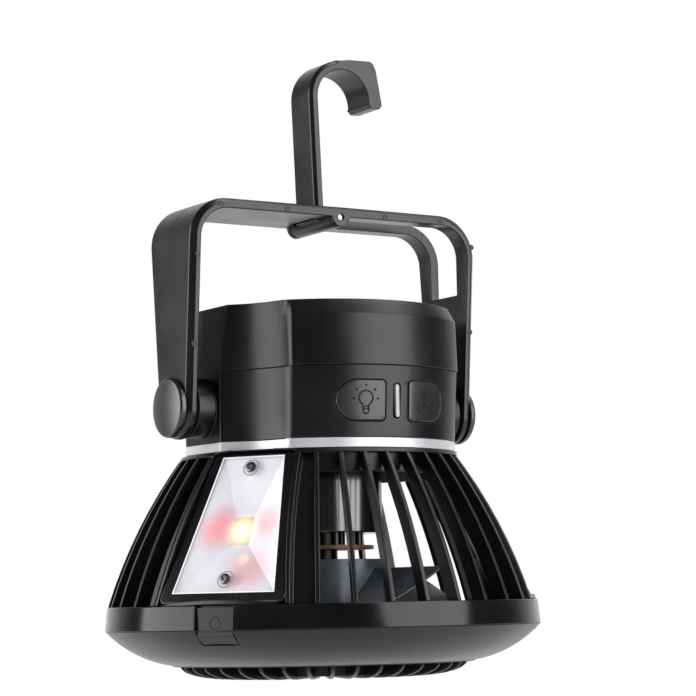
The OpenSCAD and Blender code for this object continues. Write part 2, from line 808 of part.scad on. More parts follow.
module charge_port() {
    shell = 0.5;
    tongue_w = 5.2;
    tongue_t = 0.8;
    color("#9b9ea4") translate([0, port_y - port_depth, port_z]) rotate([-90, 0, 0]) {
        difference() {
            linear_extrude(port_depth) port_outline(-0.05);
            translate([0, 0, 1]) linear_extrude(port_depth)
                port_outline(-0.05 - shell);
        }
        translate([-tongue_w / 2, -tongue_t / 2, shell])
            cube([tongue_w, tongue_t, port_depth - 3 * shell]);
    }
}

module indicator_bar() {
    color("#c4c7cc") {
        intersection() {
            front_prism(pcb_y + 0.2, box_r_high + 4) bar_outline(-0.03);
            box_skin(0.1);
        }
    }
}

// a button: face that follows the box, retaining flange inside, stem to its switch
module button(side) {
    stem_x = btn_x + side * (btn_half_gap + btn_w / 2);
    stem_end = pcb_y + switch_body + switch_stem + btn_travel + 0.1;
    inside_r = box_r_low - box_wall - seat_gap;
    union() {
        intersection() {
            front_prism(stem_end, box_r_high + 4) button_outline(side);
            difference() {
                box_skin(btn_proud);
                translate([0, 0, box_z - 1]) cylinder(r = inside_r - 1.4, h = box_h + 2);
            }
        }
        intersection() {
            front_prism(stem_end, box_r_high + 4) button_outline(side, 1.2);
            ring(inside_r, inside_r - 1.4, btn_z - btn_h, 2 * btn_h);
        }
        intersection() {
            translate([stem_x, -stem_end, btn_z]) rotate([90, 0, 0])
                cylinder(r = 2.2, h = 12);
            translate([0, 0, box_z]) cylinder(r = inside_r - 0.7, h = box_h);
        }
    }
}

module light_button() {
    color("#222225") button(-1);
}

module fan_button() {
    color("#222225") button(1);
}

// ---------- lamps ----------
module lamp_frame(side) {
    color("#171719") at_lamp(side) difference() {
        union() {
            lamp_block(-lamp_depth, 0);
            lamp_tongue();
        }
        lens_block(-lamp_depth + lamp_back_t, 1, thin_gap);
    }
}

module lamp_reflector(side) {
    color("#d8d8da") at_lamp(side) difference() {
        lens_block(-lamp_depth + lamp_back_t, -lens_t - lens_in);
        hull() {
            translate([-lens_t - lens_in, 0, 0]) lens_block(0, eps * 3, -0.8);
            translate([-lamp_well, -led_board_w / 2 + 2, -led_board_h / 2 + 2])
                cube([eps, led_board_w - 4, led_board_h - 4]);
        }
        translate([-lamp_depth, -led_board_w / 2, -led_board_h / 2])
            cube([lamp_depth - lamp_well, led_board_w, led_board_h]);
        lamp_screw_holes(-lamp_depth, 0, lamp_shank_r);
    }
    color("#d8d8da") at_lamp(side) difference() {
        lamp_screw_holes(-lamp_depth + lamp_back_t, -lens_t - lens_in, lamp_screw_r + 0.9);
        lamp_screw_holes(-lamp_depth, 0, lamp_shank_r);
    }
}

module lamp_board(side) {
    color("#e6e4dc") at_lamp(side)
        translate([-lamp_depth + lamp_back_t, -led_board_w / 2 + 0.1, -led_board_h / 2 + 0.1])
            cube([lamp_depth - lamp_well - lamp_back_t, led_board_w - 0.2, led_board_h - 0.2]);
}

module lamp_led(side) {
    color("#ffd66b") at_lamp(side)
        translate([-lamp_well, -led_size / 2, -led_size / 2])
            cube([1, led_size, led_size]);
}

module lamp_lens(side) {
    color("#f2f4f6", 0.4) at_lamp(side) difference() {
        lens_block(-lens_t - lens_in, -lens_in, 0.05);
        lamp_screw_holes(-lens_t - 1, 1, lamp_shank_r + 0.1);
    }
}

module lamp_screws(side) {
    color("#8d8f94") at_lamp(side) {
        lamp_screw_holes(-lamp_depth + lamp_back_t, -lens_in, lamp_shank_r);
        lamp_screw_holes(-lens_in, 0.7, lamp_screw_r);
    }
}

// ---------- motor ----------
can_wall = 2;
post_r = 2.2;
post_ring_r = board_r - 5;
board_t = 1.6;
post_h = 5.2;
board_z = can_z - post_h;
tube_r = bearing_r + 2;
tube_low_z = hub_low_z + 6;
tube_end_t = 1; // closed end of the bearing tube
clip_t = 0.5;
shaft_end_z = can_z - tube_end_t - 0.3;
upper_bearing_z = shaft_end_z - clip_t - 0.5 - bearing_h;
stator_low_z = 33;
stator_h = 12;
stator_r = 20.6;
tooth_count = 12;
coil_h = 17;
magnet_t = 2.8;
yoke_t = 1.2;
magnet_r = stator_r + 0.6;
yoke_in_r = magnet_r + magnet_t;
yoke_r = yoke_in_r + yoke_t;
yoke_low_z = hub_low_z + 2.2;

module motor_canister() {
    boss_r_in = 3.2;
    color("#121213") difference() {
        translate([0, 0, can_z]) cylinder(r = can_r, h = deck_z - can_z);
        translate([0, 0, can_z + can_wall]) linear_extrude(deck_z - can_z) difference() {
            circle(r = can_r - can_wall);
            four_around(can_screw_r) circle(r = boss_r_in);
        }
        four_around(can_screw_r) translate([0, 0, deck_z - 9])
            cylinder(r = screw_r, h = 10);
        for (a = post_az) rotate(a) translate([post_ring_r, 0, can_z - 1])
            cylinder(r = post_pin_r, h = can_wall);
    }
}

post_az = [30, 120, 210, 300];
post_pin_r = 1.2;

// posts with a pin that plugs into the canister's end
module motor_posts() {
    color("#19191b") for (a = post_az) rotate(a) translate([post_ring_r, 0, board_z]) {
        cylinder(r = post_r, h = post_h);
        cylinder(r = post_pin_r, h = post_h + can_wall - 1.05);
    }
}

module motor_board() {
    color("#7a4a2a") difference() {
        translate([0, 0, board_z - board_t]) cylinder(r = board_r, h = board_t);
        translate([0, 0, board_z - board_t - 1]) cylinder(r = tube_r, h = board_t + 2);
    }
}

module bearing_tube() {
    color("#b08d45") difference() {
        translate([0, 0, tube_low_z]) cylinder(r = tube_r, h = can_z - tube_low_z);
        translate([0, 0, tube_low_z - eps]) cylinder(r = bearing_r,
            h = can_z - tube_low_z - tube_end_t);
    }
}

module bearings() {
    color("#aab0b6") for (z = [tube_low_z + 0.5, upper_bearing_z])
        ring(bearing_r, shaft_r + shaft_fit, z, bearing_h);
}

module stator_core() {
    color("#6d6f75") difference() {
        translate([0, 0, stator_low_z]) linear_extrude(stator_h) {
            circle(r = tube_r + 4);
            intersection() {
                circle(r = stator_r);
                for (i = [0:tooth_count - 1]) rotate(i * 360 / tooth_count) {
                    translate([0, -1.3]) square([stator_r + 1, 2.6]);
                    translate([stator_r - 1.8, -4]) square([3, 8]);
                }
            }
        }
        translate([0, 0, stator_low_z - 1]) cylinder(r = tube_r, h = stator_h + 2);
    }
}

module stator_coils() {
    r0 = tube_r + 4.6;
    r1 = stator_r - 2;
    color("#b4622d") for (i = [0:tooth_count - 1]) rotate(i * 360 / tooth_count)
        translate([r0, 0, stator_low_z + stator_h / 2]) difference() {
            translate([0, -2.6, -coil_h / 2]) cube([r1 - r0, 5.2, coil_h]);
            translate([-1, -1.3, -stator_h / 2]) cube([r1 - r0 + 2, 2.6, stator_h]);
        }
}

module shaft() {
    color("#c7cacd") difference() {
        translate([0, 0, hub_low_z + 1]) cylinder(r = shaft_r,
            h = shaft_end_z - hub_low_z - 1);
        ring(shaft_r + 1, shaft_r - 0.4, shaft_end_z - clip_t - 0.25, clip_t);
    }
}

// open ring in the shaft's groove that keeps the rotor from dropping out
module shaft_clip() {
    color("#85888c") difference() {
        ring(shaft_r + 1.4, shaft_r - 0.4, shaft_end_z - clip_t - 0.25, clip_t);
        translate([0, -1, shaft_end_z - 2]) cube([8, 2, 4]);
    }
}

module rotor_yoke() {
    color("#8b8e93") difference() {
        translate([0, 0, yoke_low_z]) cylinder(r = yoke_r, h = hub_top_z - 1.5 - yoke_low_z);
        translate([0, 0, yoke_low_z + 1.4]) cylinder(r = yoke_in_r, h = hub_top_z);
        translate([0, 0, yoke_low_z - 1]) cylinder(r = shaft_r, h = 5);
    }
}

module magnet_ring() {
    color("#3c3d40") ring(yoke_in_r, magnet_r, stator_low_z - 1.5, stator_h + 3);
}

blade_low_z = hub_low_z + 2.5;
blade_az = 74; // where the first blade stands at rest

module blade() {
    translate([0, 0, blade_low_z]) linear_extrude(blade_h, twist = -blade_turn,
        slices = 14, $fn = 12) translate([hub_r - 1.4, -blade_t / 2])
            square([blade_r - hub_r + 3, blade_t]);
}

module impeller() {
    color("#15171a") {
        difference() {
            translate([0, 0, hub_low_z]) cylinder(r = hub_r, h = hub_top_z - hub_low_z);
            translate([0, 0, yoke_low_z]) cylinder(r = yoke_r, h = hub_top_z);
            translate([0, 0, hub_low_z + 1]) cylinder(r = shaft_r, h = 5);
        }
        difference() {
            intersection() {
                for (i = [0:blade_count - 1])
                    rotate(blade_az + i * 360 / blade_count) blade();
                translate([0, 0, blade_low_z]) cylinder(r1 = blade_r,
                    r2 = blade_r - blade_draft, h = blade_h);
            }
            translate([0, 0, hub_low_z - 1]) cylinder(r = hub_r - 0.6, h = blade_h + 9);
        }
    }
}

// ---------- handle pivots ----------
arm_out_x = grip_half + strap_t;
head_r = 5;
head_x = grip_half + 2.2; // underside of the pivot screw's head
head_t = 3;
head_gap = 0.4;

module pivot_screws() {
    color("#9a9ca1") both_sides() {
        along_x(flat_x - box_wall - 4) cylinder(r = pivot_r,
            h = head_x - flat_x + box_wall + 4);
        along_x(head_x) difference() {
            cylinder(r = head_r, h = head_t);
            translate([0, 0, head_t - 1.6]) cylinder(r = 2, h = 2, $fn = 6);
        }
    }
}

module friction_washers() {
    color("#3a3a3c") both_sides() along_x(pivot_boss_x) difference() {
        cylinder(r = boss_r - 2, h = 1.2);
        translate([0, 0, -1]) cylinder(r = pivot_r + pivot_fit, h = 4);
    }
}

// ---------- handle ----------
out_z = bar_z + strap_t;
bend_z = bar_z - corner_r;
bend_x = grip_half - corner_r;
slot_start_x = hook_x - stem_offset - hook_t - 2.4;

// strap section: first coordinate outwards, second across the strap
module strap_section(w = strap_w) {
    c = strap_chamfer;
    polygon([[0, -w / 2], [strap_t - c, -w / 2], [strap_t, -w / 2 + c],
        [strap_t, w / 2 - c], [strap_t - c, w / 2], [0, w / 2]]);
}

module arm_outline(inset) {
    polygon([[-(bend_z - pivot_z), -strap_w / 2 + inset],
        [0, -strap_w_low / 2 + inset], [0, strap_w_low / 2 - inset],
        [-(bend_z - pivot_z), strap_w / 2 - inset]]);
    circle(r = strap_w_low / 2 - inset, $fn = 48);
}

module arm() {
    hull() {
        along_x(grip_half) linear_extrude(strap_t - strap_chamfer) arm_outline(0);
        along_x(grip_half) linear_extrude(strap_t) arm_outline(strap_chamfer);
    }
}

module handle() {
    ear_r = hub_barrel_r + 0.1;
    color("#1d1d1f") difference() {
        union() {
            translate([-bend_x, 0, bar_z]) rotate([90, 0, 90])
                linear_extrude(2 * bend_x) rotate(90) strap_section();
            both_sides() {
                translate([bend_x, 0, bend_z]) rotate([90, 0, 0])
                    rotate_extrude(angle = 90) translate([corner_r, 0]) strap_section();
                arm();
            }
            intersection() {
                translate([hook_x, 0, bar_z]) rotate([90, 0, 0])
                    cylinder(r = ear_r, h = strap_w, center = true);
                translate([hook_x - 2 * ear_r, -strap_w / 2, bar_z - 2 * ear_r])
                    cube([4 * ear_r, strap_w, 2 * ear_r + strap_t - strap_chamfer]);
            }
        }
        // pivot holes and the pockets for the screw heads
        both_sides() {
            along_x(grip_half - 1) cylinder(r = pivot_r + pivot_fit, h = strap_t + 2);
            along_x(head_x - head_gap) cylinder(r = head_r + head_gap, h = strap_t);
        }
        // slot for the folded hook: along the crossbar, round the corner, down the arm
        translate([slot_start_x, -slot_w / 2, slot_end_z])
            cube([arm_out_x - slot_start_x + 1, slot_w, out_z - slot_end_z + 1]);
        // room for the hook's hub between the ears
        translate([hook_x, 0, bar_z]) rotate([90, 0, 0])
            cylinder(r = hub_barrel_r + seat_gap, h = strap_w - 2 * ear_t, center = true);
        translate([hook_x - hub_barrel_r - seat_gap, -strap_w / 2 + ear_t, bar_z])
            cube([2 * (hub_barrel_r + seat_gap), strap_w - 2 * ear_t, 2 * strap_t]);
        translate([hook_x, 0, bar_z]) rotate([90, 0, 0])
            cylinder(r = pin_r, h = strap_w + 4, center = true);
    }
}

module pivot_covers() {
    dome = 1.4;
    color("#202023") both_sides() difference() {
        union() {
            along_x(arm_out_x) cylinder(r = cover_r, h = cover_h - dome);
            along_x(arm_out_x + cover_h - dome) cylinder(r1 = cover_r, r2 = cover_r - 3,
                h = dome);
        }
        along_x(arm_out_x - 1) cylinder(r = head_r + head_gap,
            h = head_x + head_t + head_gap - arm_out_x + 1);
    }
}

module hook_pin() {
    color("#b5b8bc") translate([hook_x, 0, bar_z]) rotate([90, 0, 0])
        cylinder(r = pin_r, h = strap_w - 2, center = true);
}

// ---------- hook ----------
// section: first coordinate from the seat outwards, second across the strip
module hook_section() {
    c = 1.4;
    w = hook_w;
    polygon([[0, -w / 2], [hook_t - c, -w / 2], [hook_t, -w / 2 + c],
        [hook_t, w / 2 - c], [hook_t - c, w / 2], [0, w / 2]]);
}

seat_x = hook_r - stem_offset; // middle of the seat, from the pivot axis
tip_out = hook_r + 4.6; // how far the outer leg stands beyond the seat's middle
tip_drop = 3.4; // how far the outer leg reaches below the seat's middle
tip_flare = 2.6; // how far the outer leg leans outwards

module hook_shape() {
    crown = hook_r + hook_t + 0.6;
    difference() {
        union() {
            translate([-stem_offset, 0, 0]) linear_extrude(hook_reach)
                rotate(180) hook_section();
            translate([seat_x, 0, hook_reach]) rotate([90, 0, 0]) rotate(90)
                rotate_extrude(angle = 90) translate([hook_r, 0]) hook_section();
            translate([seat_x, hook_w / 2, hook_reach]) rotate([90, 0, 0])
                linear_extrude(hook_w) polygon([[-2, hook_r], [-2, hook_r + hook_t],
                    [0, hook_r + hook_t], [4, crown], [tip_out - 2.8, crown],
                    [tip_out - 1.2, crown - 1], [tip_out + 0.2, crown - 4],
                    [tip_out + tip_flare, -tip_drop + 1.6],
                    [tip_out + tip_flare - 1.2, -tip_drop],
                    [hook_r + 1.2, -tip_drop], [hook_r, -tip_drop + 1.6], [0, 0]]);
            rotate([90, 0, 0]) cylinder(r = hub_barrel_r, h = strap_w - 2 * ear_t
                - 2 * seat_gap, center = true);
            translate([-stem_offset - hook_t, -hook_w / 2, 0])
                cube([hook_t + stem_offset, hook_w, hub_barrel_r + 1.5]);
        }
        translate([seat_x, 0, hook_reach]) rotate([90, 0, 0])
            cylinder(r = hook_r, h = hook_w + 2, center = true);
        rotate([90, 0, 0]) cylinder(r = pin_r + pin_fit, h = strap_w, center = true);
    }
}

module hook() {
    color("#1e1e20") translate([hook_x, 0, bar_z]) rotate([0, -hook_lean, 0])
        hook_shape();
}

fan_housing();
cage_fins();
rim_ring();
bezel();
front_grille();
grille_screws();
latch_tabs();
trim_ring();
battery_housing();
battery_cap();
cap_screws();
cage_screws();
battery_cells();
cell_holder();
cell_tabs();
control_board();
tact_switches();
charge_board();
charge_port();
indicator_bar();
light_button();
fan_button();
lamp_frame(-1);  // left_lamp_frame
lamp_reflector(-1);  // left_lamp_reflector
lamp_board(-1);  // left_lamp_board
lamp_led(-1);  // left_lamp_led
lamp_lens(-1);  // left_lamp_lens
lamp_screws(-1);  // left_lamp_screws
lamp_frame(1);  // right_lamp_frame
lamp_reflector(1);  // right_lamp_reflector
lamp_board(1);  // right_lamp_board
lamp_led(1);  // right_lamp_led
lamp_lens(1);  // right_lamp_lens
lamp_screws(1);  // right_lamp_screws
motor_canister();
motor_posts();
motor_board();
bearing_tube();
bearings();
stator_core();
stator_coils();
shaft();
shaft_clip();
rotor_yoke();
magnet_ring();
impeller();
pivot_screws();
friction_washers();
handle();
pivot_covers();
hook_pin();
hook();
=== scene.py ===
# %% [markdown]
# A camping fan, dressed for a picture.
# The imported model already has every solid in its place. This lesson adds what a
# moulder and an assembler would: rounded edges, icons, lamps that glow, and a
# finish for each material. It starts by loading that model as a fixed frame, in
# metres, so a number in millimetres is always multiplied by MM.

# %% Load the frame
import bpy
import json
import math
from mathutils import Matrix, Vector
from mathutils.bvhtree import BVHTree

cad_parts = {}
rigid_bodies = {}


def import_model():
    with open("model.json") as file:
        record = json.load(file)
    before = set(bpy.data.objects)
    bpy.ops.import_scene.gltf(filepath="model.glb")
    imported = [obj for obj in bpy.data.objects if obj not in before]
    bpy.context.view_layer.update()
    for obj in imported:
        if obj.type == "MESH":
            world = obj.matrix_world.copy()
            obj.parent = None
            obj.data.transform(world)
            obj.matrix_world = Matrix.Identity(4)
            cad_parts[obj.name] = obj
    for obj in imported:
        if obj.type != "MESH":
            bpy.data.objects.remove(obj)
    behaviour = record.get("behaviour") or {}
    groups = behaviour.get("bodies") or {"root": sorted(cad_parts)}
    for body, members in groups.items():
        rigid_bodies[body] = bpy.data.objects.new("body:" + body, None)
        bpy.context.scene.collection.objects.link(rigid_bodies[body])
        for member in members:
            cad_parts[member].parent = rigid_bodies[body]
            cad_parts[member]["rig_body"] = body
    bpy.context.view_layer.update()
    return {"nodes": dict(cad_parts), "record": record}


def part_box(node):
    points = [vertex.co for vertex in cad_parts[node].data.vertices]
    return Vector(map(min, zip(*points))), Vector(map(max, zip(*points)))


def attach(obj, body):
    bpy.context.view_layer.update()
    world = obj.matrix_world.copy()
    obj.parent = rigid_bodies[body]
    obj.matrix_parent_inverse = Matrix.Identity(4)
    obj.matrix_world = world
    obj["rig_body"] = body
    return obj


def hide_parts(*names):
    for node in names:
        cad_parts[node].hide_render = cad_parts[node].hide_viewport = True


MM = 0.001
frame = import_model()
nodes = frame["nodes"]
scene = bpy.context.scene

# %% [markdown]
# The camera stands low and a little to the left, and looks slightly upwards at
# the hanging fan. Its place could be found by dragging it about, but three
# angles and a long lens describe it exactly, and a long lens keeps the cage's
# ellipses calm, as in a product picture.

# %% Camera
VIEW_AZ, VIEW_EL, VIEW_ROLL = (math.radians(v) for v in (-32.691, -6.142, -1.216))
CAMERA_AT = (-0.55545, -0.89049, 0.03140)
LENS_MM, SENSOR_MM = 122.83, 36


def camera_axes(az, el, roll):
    """Right, up and back vectors of a camera turned to these angles."""
    back = Vector((math.sin(az) * math.cos(el), -math.cos(az) * math.cos(el), math.sin(el)))
    right = Vector((math.cos(az), math.sin(az), 0))
    up = back.cross(right)
    c, s = math.cos(roll), math.sin(roll)
    return c * right + s * up, c * up - s * right, back


def linked(name, data):
    """A new object with this data, in the scene."""
    made = bpy.data.objects.new(name, data)
    scene.collection.objects.link(made)
    return made


camera_data = bpy.data.cameras.new("camera")
camera_data.lens, camera_data.sensor_width = LENS_MM, SENSOR_MM
camera = linked("camera", camera_data)
turn = Matrix(camera_axes(VIEW_AZ, VIEW_EL, VIEW_ROLL)).transposed().to_4x4()
camera.matrix_world = Matrix.Translation(CAMERA_AT) @ turn
scene.camera = camera
print("camera", tuple(round(v, 3) for v in camera.location))


# %% [markdown]
# Two small helpers serve every material below. One adds a node with its settings
# and links. The other turns an sRGB hex colour, as picked on a screen, into the
# linear numbers that a shader works with.

# %% Helpers for nodes
def add(tree, kind, props=None, values=None, links=None):
    """One node in the tree, with its settings, its socket values and its links."""
    made = tree.nodes.new(kind)
    for key, value in (props or {}).items():
        setattr(made, key, value)
    for key, value in (values or {}).items():
        made.inputs[key].default_value = value
    for key, socket in (links or {}).items():
        tree.links.new(socket, made.inputs[key])
    return made


def linear(hex_colour):
    """An sRGB hex colour as the linear RGBA that a socket wants."""
    parts = [int(hex_colour[i:i + 2], 16) / 255 for i in (1, 3, 5)]
    return [p / 12.92 if p <= 0.04045 else ((p + 0.055) / 1.055) ** 2.4 for p in parts] + [1]


def new_tree(owner):
    """The empty node tree of a material or world."""
    owner.use_nodes = True
    owner.node_tree.nodes.clear()
    return owner.node_tree


print("middle grey is", round(linear("#808080")[0], 3))

# %% [markdown]
# Black plastic shows almost nothing but what it mirrors, so the studio matters
# more than the colour. The world is white to the eye, and what shines sees a
# white backdrop behind the fan and dim walls elsewhere, as in a studio where
# only the backdrop is lit. Three soft boxes draw the long soft highlights.

# %% World
BACKDROP_WAY = (0.535, 0.836, -0.12)
# how bright the room is to a glossy piece, and to a matt one
WALLS, AMBIENT = 0.08, 0.55
scene.view_settings.view_transform = "Standard"
scene.world = bpy.data.worlds.new("studio")
sky = new_tree(scene.world)
path = add(sky, "ShaderNodeLightPath")
ray = add(sky, "ShaderNodeTexCoord")
# how far a direction points at the backdrop
to_back = add(sky, "ShaderNodeVectorMath", {"operation": "DOT_PRODUCT"},
              {1: BACKDROP_WAY}, {0: ray.outputs["Generated"]})
mirrored = add(sky, "ShaderNodeMapRange", {"interpolation_type": "SMOOTHSTEP"},
               {"From Min": 0.4, "From Max": 0.9, "To Min": WALLS, "To Max": 1.0},
               {"Value": to_back.outputs["Value"]})
seen = add(sky, "ShaderNodeMath", {"operation": "MAXIMUM"}, {},
           {0: path.outputs["Is Camera Ray"], 1: path.outputs["Is Transmission Ray"]})
ambient = add(sky, "ShaderNodeMix", {"data_type": "FLOAT"}, {2: AMBIENT},
              {0: path.outputs["Is Glossy Ray"], 3: mirrored.outputs["Result"]})
strength = add(sky, "ShaderNodeMix", {"data_type": "FLOAT"}, {3: 1.0},
               {0: seen.outputs[0], 2: ambient.outputs[0]})
backdrop = add(sky, "ShaderNodeBackground", {}, {"Color": (1, 1, 1, 1)},
               {"Strength": strength.outputs[0]})
add(sky, "ShaderNodeOutputWorld", {}, {}, {"Surface": backdrop.outputs[0]})
print("world nodes", len(sky.nodes))


# %% Soft boxes
FAN_MIDDLE = Vector((0, 0, 0.13))


def soft_box(name, az, el, distance, width, height, watts):
    """A rectangular lamp at an azimuth and elevation in degrees, turned to the fan."""
    bpy.ops.object.light_add(type="AREA")
    lamp = bpy.context.object
    lamp.name = name
    lamp.data.shape = "RECTANGLE"
    lamp.data.size, lamp.data.size_y, lamp.data.energy = width, height, watts
    az, el = math.radians(az), math.radians(el)
    way = Vector((math.cos(el) * math.cos(az), math.cos(el) * math.sin(az), math.sin(el)))
    turn = way.to_track_quat("Z", "Y").to_matrix().to_4x4()
    lamp.matrix_world = Matrix.Translation(FAN_MIDDLE + distance * way) @ turn
    print(name, watts, "W")


soft_box("key_box", -68, 14, 1.1, 1.0, 1.1, 14.5)
soft_box("left_box", 159, 10, 1.0, 0.98, 0.9, 11.5)
soft_box("top_box", -25, 64, 1.2, 0.8, 0.8, 7)

# %% [markdown]
# The fan hangs, so the floor is a hand's width below it and its shadow is soft.
# The floor is pale and matt. To the eye it fades into the white backdrop with
# distance, by mixing in plain white light, and near the fan it keeps the shadow.

# %% Floor
FLOOR_DROP, FLOOR_R = 60 * MM, 0.8
SHADOW_R, WHITE_R = 0.2, 0.75
bpy.ops.object.select_all(action="DESELECT")
bpy.ops.mesh.primitive_circle_add(vertices=128, radius=FLOOR_R, fill_type="NGON",
                                  location=(0, 0, -FLOOR_DROP))
floor = bpy.context.object
floor.name = "studio_floor"
pale = bpy.data.materials.new("pale_matt_floor")
tree = new_tree(pale)
path = add(tree, "ShaderNodeLightPath")
matt = add(tree, "ShaderNodeBsdfDiffuse", {}, {"Color": linear("#f2f2f2")})
white = add(tree, "ShaderNodeEmission", {}, {"Strength": 1.0})
reach = add(tree, "ShaderNodeVectorMath", {"operation": "LENGTH"}, {},
            {0: add(tree, "ShaderNodeTexCoord").outputs["Object"]})
fade = add(tree, "ShaderNodeMapRange", {"interpolation_type": "SMOOTHSTEP"},
           {"From Min": SHADOW_R, "From Max": WHITE_R, "To Min": 0.7, "To Max": 1.0},
           {"Value": reach.outputs["Value"]})
shiny = add(tree, "ShaderNodeMath", {"operation": "MAXIMUM"}, {},
            {0: path.outputs["Is Glossy Ray"], 1: path.outputs["Is Transmission Ray"]})
seen = add(tree, "ShaderNodeMath", {"operation": "MAXIMUM"}, {},
           {0: path.outputs["Is Camera Ray"], 1: shiny.outputs[0]})
part = add(tree, "ShaderNodeMath", {"operation": "MULTIPLY"}, {},
           {0: seen.outputs[0], 1: fade.outputs["Result"]})
mixed = add(tree, "ShaderNodeMixShader", {}, {},
            {0: part.outputs[0], 1: matt.outputs[0], 2: white.outputs[0]})
add(tree, "ShaderNodeOutputMaterial", {}, {}, {"Surface": mixed.outputs[0]})
floor.data.materials.append(pale)
print("floor at", -FLOOR_DROP)


# %% [markdown]
# Most pieces are injection-moulded ABS. A mould leaves a very fine spark-eroded
# grain, a tone that drifts a little where the plastic flowed, and a surface that
# isn't perfectly flat. One recipe makes all moulded and metal skins, and each
# gets its own colours, gloss and grain. Patterns read Object coordinates, which
# are metres, so a noise with one cell per millimetre has a scale of 1 / MM.

# %% Skins with drift and grain
WAVE_DEPTH = 0.06  # mm


def skin(name, dark, light, gloss=(0.26, 0.36), grain=0.5, depth=0.010, flow=22,
         level=0.35, coat=0.0, metallic=0.0, stretch=(1, 1, 1)):
    """Tone and gloss drift over flow mm, over a grain of grain mm that is depth mm deep."""
    material = bpy.data.materials.new(name)
    tree = new_tree(material)
    place = add(tree, "ShaderNodeTexCoord").outputs["Object"]
    place = add(tree, "ShaderNodeMapping", {}, {"Scale": stretch}, {"Vector": place}).outputs[0]
    drift = add(tree, "ShaderNodeTexNoise", {}, {"Scale": 1 / (flow * MM), "Detail": 4.0},
                {"Vector": place})
    fine = add(tree, "ShaderNodeTexNoise", {}, {"Scale": 1 / (grain * MM), "Detail": 2.0},
               {"Vector": place})
    tone = add(tree, "ShaderNodeValToRGB", {}, {}, {"Fac": drift.outputs["Fac"]})
    for stop, position, colour in zip(tone.color_ramp.elements, (0.3, 0.7), (dark, light)):
        stop.position, stop.color = position, linear(colour)
    both = add(tree, "ShaderNodeMix", {"data_type": "FLOAT"}, {0: 0.3},
               {2: drift.outputs["Fac"], 3: fine.outputs["Fac"]})
    rough = add(tree, "ShaderNodeMapRange", {}, {"From Min": 0.3, "From Max": 0.7,
                "To Min": gloss[0], "To Max": gloss[1]}, {"Value": both.outputs[0]})
    waves = add(tree, "ShaderNodeBump", {}, {"Strength": 0.35, "Distance": WAVE_DEPTH * MM},
                {"Height": drift.outputs["Fac"]})
    bump = add(tree, "ShaderNodeBump", {}, {"Strength": 0.5, "Distance": depth * MM},
               {"Height": fine.outputs["Fac"], "Normal": waves.outputs["Normal"]})
    body = add(tree, "ShaderNodeBsdfPrincipled", {},
               {"IOR": 1.5 if metallic == 1 else 1.53, "Coat Weight": coat, "Metallic": metallic,
                "Specular IOR Level": 0.5 if metallic else level},
               {"Base Color": tone.outputs["Color"], "Roughness": rough.outputs["Result"],
                "Normal": bump.outputs["Normal"]})
    add(tree, "ShaderNodeOutputMaterial", {}, {}, {"Surface": body.outputs[0]})
    return material


# %% Moulded plastics
abs_satin = skin("moulded_abs_satin", "#070708", "#0c0c0e")
abs_gloss = skin("polished_abs", "#08080a", "#0f0f11", gloss=(0.12, 0.2), depth=0.004, level=0.3)
abs_cover = skin("satin_polished_abs", "#0a0a0c", "#121214", gloss=(0.26, 0.34), depth=0.004,
                 level=0.8)
abs_handle = skin("thick_wall_abs", "#09090b", "#0f0f11", gloss=(0.24, 0.34), level=0.42)
can_paint = skin("textured_can_paint", "#0a0a0b", "#131315", gloss=(0.12, 0.22), grain=0.7,
                 depth=0.02, level=1.0, coat=0.5, stretch=(1, 1, 0.3))
# near black: paints the shade of the icons' engraved lines and of the buttons' joints
groove_shade_black = skin("painted_groove_shade_black", "#020203", "#050506", gloss=(0.5, 0.6))
abs_button = skin("button_abs", "#1a1a1c", "#232326", gloss=(0.22, 0.3), level=0.5)
pp_blade = skin("blade_polypropylene", "#2a3036", "#3a424a", gloss=(0.2, 0.3), level=0.5)
frosted = skin("frosted_polycarbonate", "#94989c", "#acb0b4", gloss=(0.3, 0.4))
nylon = skin("grey_glass_filled_nylon", "#2e3033", "#3c3f43", gloss=(0.4, 0.5))
wrap = skin("shrink_wrapped_pvc", "#1f4f7a", "#2b6596", gloss=(0.22, 0.3))
print("plastics", len(bpy.data.materials))

# %% Boards, fibre and metals
fr4 = skin("green_fr4_board", "#123d26", "#1c5636", gloss=(0.2, 0.3))
pertinax = skin("brown_paper_board", "#4a2c1c", "#6b4630", gloss=(0.35, 0.5), grain=1.2, flow=5)
fibre = skin("pressed_fibre", "#4a4b4e", "#5e6063", gloss=(0.6, 0.75), grain=0.8, depth=0.05)
ferrite = skin("sintered_ferrite", "#1b1a1a", "#2b2929", gloss=(0.45, 0.6))
# metals, which keep the default IOR
silver = skin("satin_plated_abs", "#b0b2b6", "#c8cace", gloss=(0.3, 0.42), metallic=0.45)
screw_zinc = skin("zinc_plated_steel", "#6d7075", "#85888d", gloss=(0.3, 0.42), metallic=1.0)
screw_dark = skin("black_oxide_steel", "#5a5057", "#766b72", gloss=(0.2, 0.32), metallic=1.0)
bright_steel = skin("ground_steel", "#a8abb0", "#c0c3c7", gloss=(0.18, 0.28), metallic=1.0)
brass = skin("blackened_brass", "#1c1a16", "#2c2821", gloss=(0.25, 0.35), metallic=1.0)
nickel = skin("nickel_strip", "#a5a29a", "#bcb9b0", gloss=(0.25, 0.35), metallic=1.0)
# a stack of 0.5 mm sheets: the grain is squeezed along the shaft
stator_steel = skin("laminated_steel", "#5d6065", "#8a8d92", gloss=(0.35, 0.5), metallic=1.0,
                    grain=4, depth=0.15, stretch=(1, 1, 8))
# enamelled wire wound round the teeth
copper = skin("enamelled_copper_wire", "#8a3d1c", "#b5582c", gloss=(0.25, 0.35), metallic=1.0,
              grain=3, depth=0.2, stretch=(1, 1, 6))
print("skins", len(bpy.data.materials))

